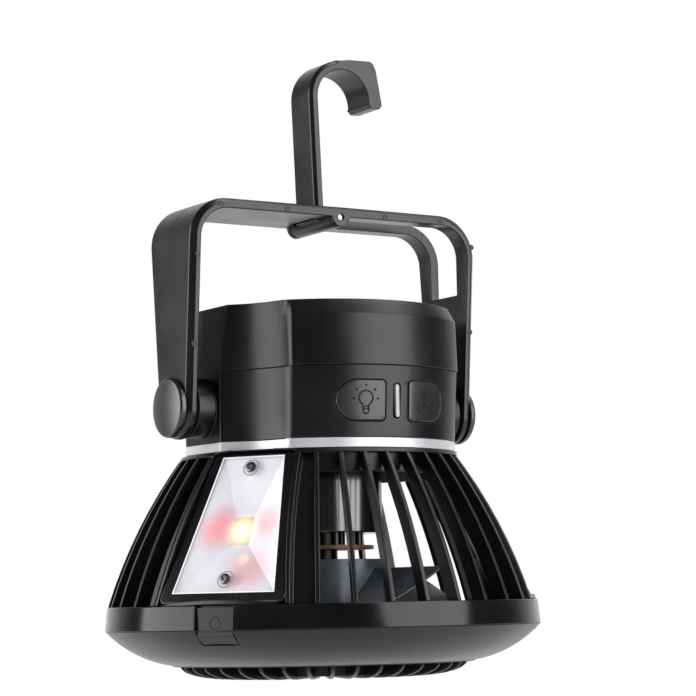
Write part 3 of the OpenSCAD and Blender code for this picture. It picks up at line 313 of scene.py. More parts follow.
# %% [markdown]
# A lamp is a white reflector of four facets, with a warm white chip and red
# chips in its small end, under a clear acrylic lens. The light of the chips is
# painted in as a glow that falls off with the distance from them, because so few
# light paths would find such small chips that the picture would be grainy. Red
# light leaves a white piece pink, so it takes colour away; warm light adds to it.

# %% Lamp axes
def lamp_axes(side):
    """Middle of the lens' outer face, and the unit vectors out, up and across."""
    mesh = nodes[side + "_lamp_lens"].data
    low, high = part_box(side + "_lamp_lens")
    outwards = Vector((low.x + high.x, low.y + high.y, 0)).normalized()
    faces = [f for f in mesh.polygons if f.normal.dot(outwards) > 0.5]
    out = max(faces, key=lambda f: f.area).normal.normalized()
    points = [mesh.vertices[i].co for f in faces if f.normal.dot(out) > 0.999 for i in f.vertices]
    up = (Vector((0, 0, 1)) - out * out.z).normalized()
    across = up.cross(out)
    middle = Vector()
    for axis in (out, up, across):
        along = [p.dot(axis) for p in points]
        middle += axis * (max(along) + min(along)) / 2
    return middle, out, up, across


def middle_of(node):
    """The middle of a CAD node's box."""
    low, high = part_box(node)
    return (low + high) / 2


LAMPS = {side: lamp_axes(side) for side in ("left", "right")}
for side, lamp in LAMPS.items():
    print(side, [tuple(round(c, 4) for c in v) for v in lamp])


# %% The chips' painted glow
# each spot of painted glow: mm across and up from the chip, reach in mm, and power in its middle
RED_SPOTS = ((-12.0, 0.0, 14.0, 1.0), (-9.0, 8.0, 9.0, 0.5), (13.0, 3.0, 13.0, 0.8),
             (8.0, -20.0, 17.0, 0.8))
WARM_SPOTS = (((-12.0, 0.0, 13.0, 0.2), "#ff5a60"), ((4.5, -14.0, 5.0, 0.3), "#ffe04a"),
              ((0.0, 0.0, 10.0, 0.9), "#ffd400"), ((0.0, 0.0, 6.5, 1.2), "#fff6b0"))


def body_of(material):
    """The main shader of a skin."""
    return next(n for n in material.node_tree.nodes if n.type == "BSDF_PRINCIPLED")


def chip_glow(material, side):
    """Paints in the light that warm and red chips in the lamp's middle throw on a white piece."""
    tree, body = material.node_tree, body_of(material)
    place = add(tree, "ShaderNodeTexCoord").outputs["Object"]
    up, across = LAMPS[side][2:]
    chip = middle_of(side + "_lamp_led")

    def fall_off(side_mm, up_mm, reach_mm, power):
        """Full power at an offset across and up from the chip, and nothing beyond the reach."""
        centre = chip + across * side_mm * MM + up * up_mm * MM
        far = add(tree, "ShaderNodeVectorMath", {"operation": "DISTANCE"}, {1: centre}, {0: place})
        return add(tree, "ShaderNodeMapRange", {"interpolation_type": "SMOOTHERSTEP"},
                   {"From Min": 0.0, "From Max": reach_mm * MM, "To Min": power, "To Max": 0.0},
                   {"Value": far.outputs["Value"]}).outputs["Result"]

    # red light is painted in by tinting the base colour pink, warm light as emission
    colour = body.inputs["Base Color"].links[0].from_socket
    for spot in RED_SPOTS:
        painted_red_light = add(tree, "ShaderNodeMix", {"data_type": "RGBA", "blend_type": "MULTIPLY"},
                    {7: linear("#ffbabd")}, {0: fall_off(*spot), 6: colour})
        colour = painted_red_light.outputs[2]
    tree.links.new(colour, body.inputs["Base Color"])
    total = None
    for spot, hue in WARM_SPOTS:
        painted_warm_light = add(tree, "ShaderNodeVectorMath", {"operation": "SCALE"},
                   {0: linear(hue)[:3]}, {"Scale": fall_off(*spot)})
        total = painted_warm_light.outputs[0] if total is None else add(
            tree, "ShaderNodeVectorMath", {"operation": "ADD"}, {},
            {0: total, 1: painted_warm_light.outputs[0]}).outputs[0]
    tree.links.new(total, body.inputs["Emission Color"])
    body.inputs["Emission Strength"].default_value = 1.0
    material.cycles.emission_sampling = "NONE"
    return material


print("red spots", len(RED_SPOTS), "warm spots", len(WARM_SPOTS))


# %% Lit chip, and the painted light of lens edges and bosses
def lit_chip():
    """A phosphor-yellow chip that shines evenly."""
    material = skin("lit_phosphor_chip", "#ffe9a0", "#fff3c0", gloss=(0.3, 0.4))
    body = body_of(material)
    body.inputs["Emission Color"].default_value = linear("#fff0a0")
    body.inputs["Emission Strength"].default_value = 1.6
    material.cycles.emission_sampling = "NONE"
    return material


led_glow = lit_chip()
# near white: paints the light that the clear lens carries to its edges
lens_edge_light_paint = skin("painted_edge_light_acrylic", "#e9e7ec", "#f8f7fa", gloss=(0.1, 0.2), level=0.5)
# pale grey: paints the lit edge of the clear lens round each screw
boss_light_paint = skin("painted_lit_boss_edge", "#77757c", "#87858c", gloss=(0.2, 0.3), level=0.5)
lens_acrylic = skin("clear_cast_acrylic", "#fdfdfe", "#ffffff", gloss=(0.01, 0.03), depth=0.001,
                    level=0.5)
print("lamp finishes", led_glow.name, lens_edge_light_paint.name, boss_light_paint.name, lens_acrylic.name)

# %% [markdown]
# The lens would hide the reflector in its own shadow, because a renderer finds
# few light paths through solid acrylic. Shadow rays, and light that comes back
# from the reflector, therefore pass straight through, which is what real clear
# plastic nearly does.

# %% Clear lens
tree, body = lens_acrylic.node_tree, body_of(lens_acrylic)
body.inputs["Transmission Weight"].default_value = 1.0
body.inputs["IOR"].default_value = 1.49
path = add(tree, "ShaderNodeLightPath")
clear = add(tree, "ShaderNodeBsdfTransparent")
returned = add(tree, "ShaderNodeMath", {"operation": "MAXIMUM"}, {},
               {0: path.outputs["Is Diffuse Ray"], 1: path.outputs["Is Glossy Ray"]})
passed = add(tree, "ShaderNodeMath", {"operation": "MAXIMUM"}, {},
             {0: path.outputs["Is Shadow Ray"], 1: returned.outputs[0]})
mixed = add(tree, "ShaderNodeMixShader", {}, {},
            {0: passed.outputs[0], 1: body.outputs[0], 2: clear.outputs[0]})
out_node = next(n for n in tree.nodes if n.type == "OUTPUT_MATERIAL")
tree.links.new(mixed.outputs[0], out_node.inputs["Surface"])
print("lens nodes", len(tree.nodes))

# %% A finish for every CAD node
# the reflectors and the boards carry the chips' painted glow
reflectors = {side: chip_glow(skin(side + "_white_polycarbonate_painted_glow", "#cccbd2", "#d8d7de",
                                   gloss=(0.3, 0.38), level=0.5, depth=0.001), side)
              for side in LAMPS}
boards = {side: chip_glow(skin(side + "_white_solder_mask_painted_glow", "#b4b3ae", "#c0bfba",
                               gloss=(0.35, 0.45)), side) for side in LAMPS}
FINISH = {
    "black_satin": abs_satin, "black_gloss": abs_gloss, "black_blade": pp_blade,
    "silver_trim": silver, "button_black": abs_button, "indicator": frosted,
    "lamp_white": reflectors["left"], "lens_clear": lens_acrylic, "led_glow": led_glow,
    "led_board": boards["left"], "board_green": fr4, "board_brown": pertinax,
    "screw_steel": screw_zinc, "bright_steel": bright_steel, "stator_steel": stator_steel,
    "copper": copper, "brass": brass, "magnet": ferrite, "cell_wrap": wrap,
    "nickel": nickel, "holder_grey": nylon, "washer_grey": fibre,
}
SLOT_OF = {sub["node"]: sub["material_slot"] for sub in frame["record"]["subparts"]}
for name, slot in SLOT_OF.items():
    for material_slot in nodes[name].material_slots:
        material_slot.material = FINISH[slot]
nodes["right_lamp_reflector"].material_slots[0].material = reflectors["right"]
nodes["right_lamp_board"].material_slots[0].material = boards["right"]
for name, material in (("handle", abs_handle), ("hook", abs_handle), ("motor_canister", can_paint)):
    for material_slot in nodes[name].material_slots:
        material_slot.material = material
print("finished nodes", len(SLOT_OF))


# %% [markdown]
# A CAD solid has perfectly sharp edges, and no moulded piece does: its edges
# catch a thin line of light. A copy of the solid is merged, its flat faces are
# joined, and a bevel rounds every edge that turns by more than a set angle.
# Weighted normals then keep the large faces flat and let the roundings turn.

# %% Selecting and shading
def select_only(piece):
    """The piece alone is selected and active."""
    bpy.ops.object.select_all(action="DESELECT")
    piece.select_set(True)
    bpy.context.view_layer.objects.active = piece


def edit_all(piece):
    """Edit mode, with all of the piece selected."""
    select_only(piece)
    bpy.ops.object.mode_set(mode="EDIT")
    bpy.ops.mesh.select_all(action="SELECT")


def face_out():
    """Turns every face outwards and leaves edit mode."""
    bpy.ops.mesh.select_all(action="SELECT")
    bpy.ops.mesh.normals_make_consistent(inside=False)
    bpy.ops.object.mode_set(mode="OBJECT")


def apply_all(piece):
    """Every modifier of the piece is applied, in order."""
    select_only(piece)
    for modifier in list(piece.modifiers):
        bpy.ops.object.modifier_apply(modifier=modifier.name)


def smooth(piece, angle=60):
    """Smooth shading in which large faces stay flat."""
    select_only(piece)
    bpy.ops.object.shade_smooth_by_angle(angle=math.radians(angle))
    weigh = piece.modifiers.new("weigh", "WEIGHTED_NORMAL")
    weigh.keep_sharp, weigh.weight = True, 100
    apply_all(piece)


# %% Merged copies
# how near two points are merged, and how little a face may turn to be joined, in degrees
WELD, FLAT_TURN = 0.002 * MM, 0.4


def merged_copy(node, name):
    """A copy of a CAD node with its triangles joined into whole faces."""
    piece = linked(name, nodes[node].data.copy())
    edit_all(piece)
    bpy.ops.mesh.remove_doubles(threshold=WELD)
    bpy.ops.mesh.dissolve_limited(angle_limit=math.radians(FLAT_TURN))
    bpy.ops.object.mode_set(mode="OBJECT")
    return piece


def stand_for(piece, *names):
    """The piece rides on the body of the CAD nodes that it stands for, which are hidden."""
    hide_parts(*names)
    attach(piece, nodes[names[0]]["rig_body"])


# %% Rounding
def fewer_sides(piece):
    """Splits faces of more than four sides into compact triangles, which a bevel can't cross."""
    select_only(piece)
    bpy.ops.object.mode_set(mode="EDIT")
    bpy.ops.mesh.select_mode(type="FACE")
    bpy.ops.mesh.select_all(action="DESELECT")
    bpy.ops.mesh.select_face_by_sides(number=4, type="GREATER")
    bpy.ops.mesh.quads_convert_to_tris(quad_method="BEAUTY", ngon_method="BEAUTY")
    bpy.ops.mesh.beautify_fill(angle_limit=math.radians(0.5))
    bpy.ops.object.mode_set(mode="OBJECT")


def edge_round(piece, width, angle, segments=2):
    """Rounds every edge that turns by more than angle."""
    fewer_sides(piece)
    bevel = piece.modifiers.new("round", "BEVEL")
    bevel.limit_method, bevel.angle_limit = "ANGLE", math.radians(angle)
    bevel.width, bevel.segments = width * MM, segments
    bevel.use_clamp_overlap, bevel.loop_slide = False, False
    bevel.miter_outer = "MITER_ARC"
    apply_all(piece)


# %% Plain mouldings
def rounded(node, width, angle=20, rings=None):
    """A copy of a CAD node with rounded edges, then trimmed to the skin if one is given."""
    piece = merged_copy(node, node + "_moulding")
    edge_round(piece, width, angle)
    if rings:
        kept_inside(piece, rings)
    smooth(piece)
    stand_for(piece, node)
    print(piece.name, len(piece.data.polygons), "faces")


# each moulding and the radius of its edges in mm
ROUNDINGS = {
    "fan_housing": 0.4, "cage_fins": 0.35, "bezel": 0.35, "front_grille": 0.3,
    "latch_tabs": 0.25, "handle": 0.45, "hook": 0.45, "motor_canister": 0.8,
    "impeller": 0.3, "charge_port": 0.1,
}
for node, width in ROUNDINGS.items():
    rounded(node, width)


# %% [markdown]
# The battery box, its cap and the silver ring share one plan: round in front and
# behind, flat at the sides, scooped at the four corners. Where a scoop meets the
# round the mould has a generous radius, because a sharp rib there would be felt
# by the hand. A bevel that wide would tear the many small faces near the rib, so
# the rib is trimmed instead: a closed skin is drawn round the solid, a hair's
# breadth outside it and already round at the ribs, and only what lies inside
# both is kept.

# %% Trimming to a skin
def combined(piece, other, operation):
    """Joins, cuts or trims the piece with another solid, which is then removed."""
    tool = piece.modifiers.new("tool", "BOOLEAN")
    tool.operation, tool.object, tool.solver = operation, other, "EXACT"
    apply_all(piece)
    bpy.data.objects.remove(other)


def kept_inside(piece, rings):
    """Keeps what lies inside a closed skin that is drawn through rings of points."""
    count = len(rings[0])
    points = [point for ring in rings for point in ring]
    faces = [tuple(reversed(range(count))), tuple(range(len(points) - count, len(points)))]
    for low in range(0, len(points) - count, count):
        for k in range(count):
            a, b = low + k, low + (k + 1) % count
            faces.append((a, b, b + count, a + count))
    mesh = bpy.data.meshes.new("skin")
    mesh.from_pydata(points, [], faces)
    combined(piece, linked("skin", mesh), "INTERSECT")


# %% A skin round the scooped plan
# all in mm; the flat sides need no trimming, so the skin stands well clear there
SCOOP_AZ, SCOOP_CENTRE, SCOOP_R = math.radians(30), 93.0, 38.0
FLAT_SIDE, CLEAR = math.radians(14.4), 85.0
RIB_ROUND, HAIR, PLAN_STEPS = 1.5, 0.02, 1440


def plan_reach(az, outer):
    """How far in mm the trimmed plan reaches at an azimuth; outer is its round part's radius."""
    quarter = math.atan2(abs(math.sin(az)), abs(math.cos(az)))
    across = SCOOP_CENTRE * math.sin(quarter - SCOOP_AZ)
    if quarter < FLAT_SIDE:
        return CLEAR
    if abs(across) >= SCOOP_R:
        return outer
    scoop = SCOOP_CENTRE * math.cos(quarter - SCOOP_AZ) - math.sqrt(SCOOP_R ** 2 - across ** 2)
    if quarter < SCOOP_AZ:
        return scoop
    blend = max(1 - abs(scoop - outer) / RIB_ROUND, 0)
    return min(scoop, outer) - blend ** 2 * RIB_ROUND / 4


def plan_rings(rows):
    """Rings of the trimmed plan at rows of (height, radius) in mm."""
    turns = [math.tau * k / PLAN_STEPS for k in range(PLAN_STEPS)]
    rings = []
    for height, outer in rows:
        reach = [(plan_reach(az, outer) + HAIR) * MM for az in turns]
        rings.append([(r * math.cos(az), r * math.sin(az), height * MM)
                      for r, az in zip(reach, turns)])
    return rings


print("ribs rounded by", RIB_ROUND, "mm")

# %% Box, cap and ring
# heights and radii in mm; each skin starts and ends just past its solid
BOX_ROWS = ((95, 60.6), (100.55, 61), (131, 63), (132, 63.1))
CAP_ROWS = ((130, 63.6), (131, 63.6), (152.7, 62.9), (159.2, 59.3), (160, 58.9))
RING_ROWS = ((95, 61), (102, 61))
rounded("battery_housing", 0.4, 24, plan_rings(BOX_ROWS))
rounded("battery_cap", 0.4, 24, plan_rings(CAP_ROWS))
rounded("trim_ring", 0.3, 24, plan_rings(RING_ROWS))

# %% [markdown]
# The rim ring is cut away at each latch. Its ends there are only broken, like all
# the edges of a glossy moulding.

# %% Rim ring
rounded("rim_ring", 0.45)

# %% [markdown]
# The lamp frame is a thick black surround with round outer corners, wider than a
# bevel of the solid could give. It is made anew from outlines measured on the
# solid: a slab with round corners and a round front edge, less the pocket of the
# reflector, plus the small tongue at its foot.

# %% Outlines and slabs
def round_outline(corners, radius, steps=8):
    """A closed outline through corners, each turned with the radius."""
    outline = []
    for before, corner, after in zip(corners[-1:] + corners, corners, corners[1:] + corners[:1]):
        ahead, back = (after - corner).normalized(), (before - corner).normalized()
        half = ahead.angle(back) / 2
        centre = corner + (ahead + back).normalized() * radius / math.sin(half)
        start, end = (corner + leg * radius / math.tan(half) - centre for leg in (back, ahead))
        outline += [centre + start.lerp(end, k / steps).normalized() * radius
                    for k in range(steps + 1)]
    return outline


def pick(piece, kind, wanted):
    """Edit mode, with the edges or faces selected for which wanted is true."""
    select_only(piece)
    bpy.ops.object.mode_set(mode="EDIT")
    bpy.ops.mesh.select_mode(type=kind)
    bpy.ops.mesh.select_all(action="DESELECT")
    bpy.ops.object.mode_set(mode="OBJECT")
    mesh = piece.data
    if kind == "EDGE":
        chosen = [e for e in mesh.edges if wanted(*(mesh.vertices[i].co for i in e.vertices))]
    else:
        chosen = [f for f in mesh.polygons if wanted(f)]
    for part in chosen:
        part.select = True
    bpy.ops.object.mode_set(mode="EDIT")


def slab(name, outline, lamp, low, high, round_width=0.0):
    """An outline in a lamp's plane, extruded from depth low to high, its front edge rounded."""
    middle, out, up, across = lamp
    mesh = bpy.data.meshes.new(name)
    mesh.from_pydata([middle + across * p.x + up * p.y + out * low for p in outline], [],
                     [tuple(range(len(outline)))])
    piece = linked(name, mesh)
    edit_all(piece)
    bpy.ops.mesh.extrude_region_move(TRANSFORM_OT_translate={"value": out * (high - low)})
    face_out()
    if round_width:
        pick(piece, "EDGE", lambda a, b: min((a - middle).dot(out), (b - middle).dot(out))
             > high - 0.01 * MM)
        bpy.ops.mesh.bevel(offset=round_width * MM, segments=4, clamp_overlap=False)
        bpy.ops.object.mode_set(mode="OBJECT")
    return piece


# %% Lamp frame, reflector and lens
def box_outline(x, low, high):
    """A rectangle in a lamp's plane."""
    return [Vector(p) for p in ((x, low), (x, high), (-x, high), (-x, low))]


def tapered_outline(points):
    """The four corners of a flat shape whose sides lean in evenly, measured from its points."""
    ends = min(p.y for p in points), max(p.y for p in points)
    foot_x, top_x = (max(abs(p.x) for p in points if abs(p.y - y) < NEAR) for y in ends)
    return [Vector(p) for p in ((foot_x, ends[0]), (top_x, ends[1]), (-top_x, ends[1]),
                                (-foot_x, ends[0]))]


# what counts as the same height, and how far the pocket's floor lies off the back at least;
# lengths are in metres, and the widths of the round edges in mm
NEAR, OFF_BACK = 0.1 * MM, 0.5 * MM
FRAME_CORNER, FRAME_EDGE = 3.2 * MM, 0.9
TONGUE_HALF, TONGUE_T, TONGUE_CORNER, TONGUE_EDGE = 7 * MM, 2.6 * MM, 0.6 * MM, 0.3
OVERCUT = 1 * MM
for side, lamp in LAMPS.items():
    middle, out, up, across = lamp
    spots = [v.co - middle for v in nodes[side + "_lamp_frame"].data.vertices]
    spots = [Vector((p.dot(across), p.dot(up), p.dot(out))) for p in spots]
    back, face = min(p.z for p in spots), max(p.z for p in spots)
    inside = [p for p in spots if p.z > back + OFF_BACK]
    floor_z = min(p.z for p in inside)
    pocket = tapered_outline([p.xy for p in inside if p.z < floor_z + NEAR])
    block = tapered_outline([p.xy for p in spots if p.z < back + NEAR])
    foot, tongue_foot = block[0].y, min(p.y for p in spots)
    print(side, "block", [[round(c / MM, 2) for c in p] for p in block],
          "pocket", [[round(c / MM, 2) for c in p] for p in pocket])
    frame_piece = slab(side + "_lamp_surround", round_outline(block, FRAME_CORNER), lamp, back,
                       face, FRAME_EDGE)
    combined(frame_piece, slab("pocket", pocket, lamp, floor_z, face + OVERCUT), "DIFFERENCE")
    tongue = round_outline(box_outline(TONGUE_HALF, tongue_foot, foot + OVERCUT), TONGUE_CORNER, 3)
    combined(frame_piece, slab("tongue", tongue, lamp, face - TONGUE_T, face, TONGUE_EDGE), "UNION")
    smooth(frame_piece, 50)
    stand_for(frame_piece, side + "_lamp_frame")
    frame_piece.data.materials.append(abs_gloss)
    rounded(side + "_lamp_reflector", 0.12)
    rounded(side + "_lamp_lens", 0.25)


# %% [markdown]
# A cross-head screw is a disc whose top is domed by raised insets, with a cross
# cut by two crossing blocks. One is modelled at the origin, and each place gets
# its own copy.

# %% Cross-head screw
# each ring of the dome: its inset and its rise, as shares of the radius and the height
DOME_RINGS = ((0.10, 0.12), (0.14, 0.10), (0.2, 0.07))
# a blade's length and width as shares of the radius, and its height as one of the height
BLADE_L, BLADE_W, BLADE_H, BLADE_AT = 1.25, 0.28, 1.3, 1.25


def cross_screw(name, radius, height):
    """One screw head that stands on the XY plane, with a cross recess."""
    bpy.ops.object.select_all(action="DESELECT")
    bpy.ops.mesh.primitive_cylinder_add(vertices=40, radius=radius * MM, depth=height * MM,
                                        location=(0, 0, height * MM / 2))
    head = bpy.context.object
    head.name = name
    bpy.ops.object.transform_apply(location=True)
    pick(head, "FACE", lambda f: f.normal.z > 0.9)
    for inset, lift in DOME_RINGS:
        bpy.ops.mesh.inset(thickness=inset * radius * MM)
        bpy.ops.transform.translate(value=(0, 0, lift * height * MM))
    bpy.ops.object.mode_set(mode="OBJECT")
    for turn in (0, math.pi / 2):
        bpy.ops.mesh.primitive_cube_add(size=1, location=(0, 0, BLADE_AT * height * MM),
                                        rotation=(0, 0, turn))
        blade = bpy.context.object
        blade.scale = (BLADE_L * radius * MM, BLADE_W * radius * MM, BLADE_H * height * MM)
        bpy.ops.object.transform_apply(location=True, rotation=True, scale=True)
        combined(head, blade, "DIFFERENCE")
    edge_round(head, 0.06, 30)
    smooth(head)
    return head


HEAD_R, HEAD_H = 2.3, 1.0
pan_head = cross_screw("pan_head_pattern", HEAD_R, HEAD_H)
pan_head.data.materials.append(screw_dark)
print("screw head", [round(side / MM, 2) for side in pan_head.dimensions])


# %% Copies on a body
def placed(pattern, name, place, z_axis, turn=0.0):
    """A copy with its own mesh, set at a place with its Z along z_axis."""
    piece = linked(name, pattern.data.copy())
    quat = z_axis.to_track_quat("Z", "Y").to_matrix().to_4x4()
    piece.data.transform(Matrix.Translation(place) @ quat @ Matrix.Rotation(turn, 4, "Z"))
    return piece


def joined(pieces, name):
    """Several pieces as one object at the origin."""
    bpy.ops.object.select_all(action="DESELECT")
    for piece in pieces:
        piece.select_set(True)
    bpy.context.view_layer.objects.active = pieces[0]
    bpy.ops.object.join()
    whole = bpy.context.view_layer.objects.active
    whole.name = name
    bpy.ops.object.transform_apply(location=True, rotation=True, scale=True)
    return whole


def on_body(piece, body):
    """An added piece rides on a body."""
    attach(piece, body)


# %% Screws and the painted light round them
BOSS_R, BOSS_WIRE, BOSS_FLAT, PROUD = 3.6, 0.25, 0.6, 0.02
# each screw sits in a pale ring that paints the lit edge of the lens round it
bpy.ops.mesh.primitive_torus_add(major_radius=BOSS_R * MM, minor_radius=BOSS_WIRE * MM,
                                 major_segments=48, minor_segments=10)
boss_ring = bpy.context.object
boss_ring.data.transform(Matrix.Diagonal((1, 1, BOSS_FLAT, 1)))
bpy.ops.object.shade_smooth()
boss_ring.data.materials.append(boss_light_paint)

for side, (middle, out, up, across) in LAMPS.items():
    points = [v.co for v in nodes[side + "_lamp_screws"].data.vertices]
    split = (max(p.dot(up) for p in points) + min(p.dot(up) for p in points)) / 2
    heads, rings = [], []
    for number in (0, 1):
        part = [p for p in points if (p.dot(up) > split) == bool(number)]
        spot = out * (middle.dot(out) + PROUD * MM)
        for axis in (up, across):
            along = [p.dot(axis) for p in part]
            spot += axis * (max(along) + min(along)) / 2
        heads.append(placed(pan_head, f"{side}_head_{number}", spot, out, 0.5 + number))
        rings.append(placed(boss_ring, f"{side}_ring_{number}", spot, out))
    on_body(joined(heads, side + "_lamp_screw_heads"), "fan_head")
    on_body(joined(rings, side + "_lamp_painted_boss_light"), "fan_head")
bpy.data.objects.remove(boss_ring)
bpy.data.objects.remove(pan_head)

# %% [markdown]
# Clear acrylic carries light to its edges, so a lens shows a bright outline. That
# light is painted: a near white strip, made from a plane stretched to the lens' four
# corners, inset, with the middle taken out, then given its thickness.

# %% Painted bright lens outline
STRIP_W, STRIP_T, STRIP_PROUD, STRIP_EDGE = 0.6, 0.5, 0.03, 0.12
for side, (middle, out, up, across) in LAMPS.items():
    points = [v.co - middle for v in nodes[side + "_lamp_lens"].data.vertices
              if abs((v.co - middle).dot(out)) < 0.05 * MM]
    bpy.ops.object.select_all(action="DESELECT")
    bpy.ops.mesh.primitive_plane_add(size=2)
    strip = bpy.context.object
    strip.name = side + "_lens_outline_painted_light"
    for vertex in strip.data.vertices:
        sx, sy = math.copysign(1, vertex.co.x), math.copysign(1, vertex.co.y)
        corner = max(points, key=lambda p: sx * p.dot(across) + 3 * sy * p.dot(up))
        vertex.co = middle + corner + out * STRIP_PROUD * MM
    pick(strip, "FACE", lambda f: True)
    bpy.ops.mesh.inset(thickness=STRIP_W * MM)
    bpy.ops.mesh.delete(type="FACE")
    face_out()
    thick = strip.modifiers.new("thick", "SOLIDIFY")
    thick.thickness = STRIP_T * MM
    thick.offset = 1 if strip.data.polygons[0].normal.dot(out) < 0 else -1
    apply_all(strip)
    edge_round(strip, STRIP_EDGE, 30)
    smooth(strip)
    strip.data.materials.append(lens_edge_light_paint)
    on_body(strip, "fan_head")
    print(strip.name, len(strip.data.polygons), "faces")

# %% [markdown]
# The buttons carry raised icons: a bulb with rays, and a fan of three blades.
# Each stroke is a curve with a round section, near black, which paints the shade
# of an engraved line. Its points are dropped onto the button along the Y axis, so
# the icon follows the curved face, and the curve is then turned into a mesh. The
# button itself gets a soft edge, which makes the dark groove around it.

# %% Buttons
BUTTONS = ("light_button", "fan_button")
for node in BUTTONS:
    rounded(node, 0.55)


# %% Strokes
def tube(points, radius, closed=False):
    """A round line through points, as a mesh."""
    curve = bpy.data.curves.new("tube", "CURVE")
    curve.dimensions = "3D"
    line = curve.splines.new("POLY")
    line.points.add(len(points) - 1)
    for point, place in zip(line.points, points):
        point.co = (*place, 1)
    line.use_cyclic_u = closed
    curve.bevel_depth, curve.bevel_resolution, curve.use_fill_caps = radius * MM, 2, True
    select_only(linked("tube", curve))
    bpy.ops.object.convert(target="MESH")
    piece = bpy.context.object
    bpy.ops.object.shade_smooth_by_angle(angle=math.radians(50))
    return piece


def stroke(points, node, radius=0.38, closed=False):
    """A raised line on a node's front face through (x, z) points in mm."""
    mesh = nodes[node].data
    face = BVHTree.FromPolygons([v.co for v in mesh.vertices], [f.vertices for f in mesh.polygons])
    in_front, backwards = -100 * MM, Vector((0, 1, 0))
    return tube([face.ray_cast(Vector((x * MM, in_front, z * MM)), backwards)[0]
                 for x, z in points], radius, closed)


def polar(r, degrees):
    """How far a point at this radius and angle lies along the two axes."""
    return r * math.cos(math.radians(degrees)), r * math.sin(math.radians(degrees))


def arc(cx, cz, r, start, end, steps=16):
    """Points on an arc, angles in degrees counted from +x towards +z."""
    ways = [polar(r, start + (end - start) * i / steps) for i in range(steps + 1)]
    return [(cx + dx, cz + dz) for dx, dz in ways]


print("a half circle ends at", [round(c, 3) for c in arc(0, 0, 1, 0, 180)[-1]])


# %% Bulb icon
BULB_X, BULB_Z, BULB_R = -14.5, 117.0, 3.0
NECK_Z, NECK_HALF, CAP_R = BULB_Z - 4.2, 1.2, 1.15
THREAD, THREAD_R, RAY_R, RAYS = (0.5, -0.5), 0.28, 0.4, (-4, 41, 90, 139, 184)
# round the glass, down the neck, round its end cap and up again
bulb = arc(BULB_X, BULB_Z, BULB_R, -48, 228)
bulb += [(BULB_X - NECK_HALF, NECK_Z + 1.0), (BULB_X - CAP_R, NECK_Z - 1.1)]
bulb += arc(BULB_X, NECK_Z - 1.3, CAP_R, 180, 360, 8) + [(BULB_X + NECK_HALF, NECK_Z + 1.0)]
strokes = [stroke(bulb, "light_button", closed=True)]
for dz in THREAD:
    strokes.append(stroke([(BULB_X - 1.0, NECK_Z + dz - 0.2), (BULB_X + 1.0, NECK_Z + dz + 0.2)],
                          "light_button", THREAD_R))
for turn in RAYS:
    c, s = polar(1, turn)
    strokes.append(stroke([(BULB_X + r * c, BULB_Z + r * s) for r in (4.7, 5.7)], "light_button",
                          RAY_R))
bulb_icon = joined(strokes, "bulb_icon")
bulb_icon.data.materials.append(groove_shade_black)
on_body(bulb_icon, "light_button")
print("bulb strokes", len(RAYS) + len(THREAD) + 1)

# %% Fan icon
FAN_X, FAN_Z, FAN_HUB_R, FAN_TURNS = 16.0, 115.6, 0.9, (98, 218, 338)
# a leaf: out along one side, round the tip, back along the other
LEAF = ((1.2, 0.2), (2.2, 1.1), (3.6, 1.7), (4.9, 1.5), (5.5, 0.5), (5.2, -0.5), (4.0, -0.7),
        (2.6, -0.6))
strokes = [stroke(arc(FAN_X, FAN_Z, FAN_HUB_R, 0, 330, 12), "fan_button", closed=True)]
for turn in FAN_TURNS:
    c, s = polar(1, turn)
    strokes.append(stroke([(FAN_X + u * c - v * s, FAN_Z + u * s + v * c) for u, v in LEAF],
                          "fan_button", closed=True))
fan_icon = joined(strokes, "fan_icon")
fan_icon.data.materials.append(groove_shade_black)
on_body(fan_icon, "fan_button")
print("fan strokes", len(FAN_TURNS) + 1)

# %% [markdown]
# A thin black bead lines each button's opening and paints the shade of the joint,
# so the joint looks dark and wider than the moving gap. It is a closed stroke just
# outside the button's outline, laid on the box and sunk until only its crest stands proud.

# %% Painted joint shade
# the button's hidden flange and its corners, then the shade bead's offset, radius and depth
FLANGE, CORNER = 1.2, 1.8
BEAD_OUT, BEAD_R, BEAD_SUNK = 0.5, 0.32, 0.2
for node in BUTTONS:
    low, high = (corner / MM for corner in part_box(node))
    side = math.copysign(1, low.x + high.x)
    inner, outer = (e + f for e, f in zip(sorted((abs(low.x), abs(high.x))), (FLANGE, -FLANGE)))
    half, mid_z = (high.z - low.z) / 2 - FLANGE, (high.z + low.z) / 2
    ends = arc(outer - half, 0, half + BEAD_OUT, -90, 90, 24)
    for s, start in ((1, 90), (-1, 180)):
        ends += arc(inner + CORNER, s * (half - CORNER), CORNER + BEAD_OUT, start, start + 90, 6)
    outline = [(side * (a[0] + (b[0] - a[0]) * k / 4), mid_z + a[1] + (b[1] - a[1]) * k / 4)
               for a, b in zip(ends, ends[1:] + ends[:1]) for k in range(4)]
    shade_bead = stroke(outline, "battery_housing", BEAD_R, closed=True)
    shade_bead.data.transform(Matrix.Translation((0, BEAD_SUNK * MM, 0)))
    shade_bead.name = node + "_painted_joint_shade"
    shade_bead.data.materials.append(groove_shade_black)
    on_body(shade_bead, "fan_head")
    print(shade_bead.name, len(outline), "points")

# %% [markdown]
# A parting line runs where the two halves of the mould met, along the middle of
# the handle's outer face, and small round ejector marks stand on its edge. The
# line is a thin tube, and a mark is a short disc with a dished middle.

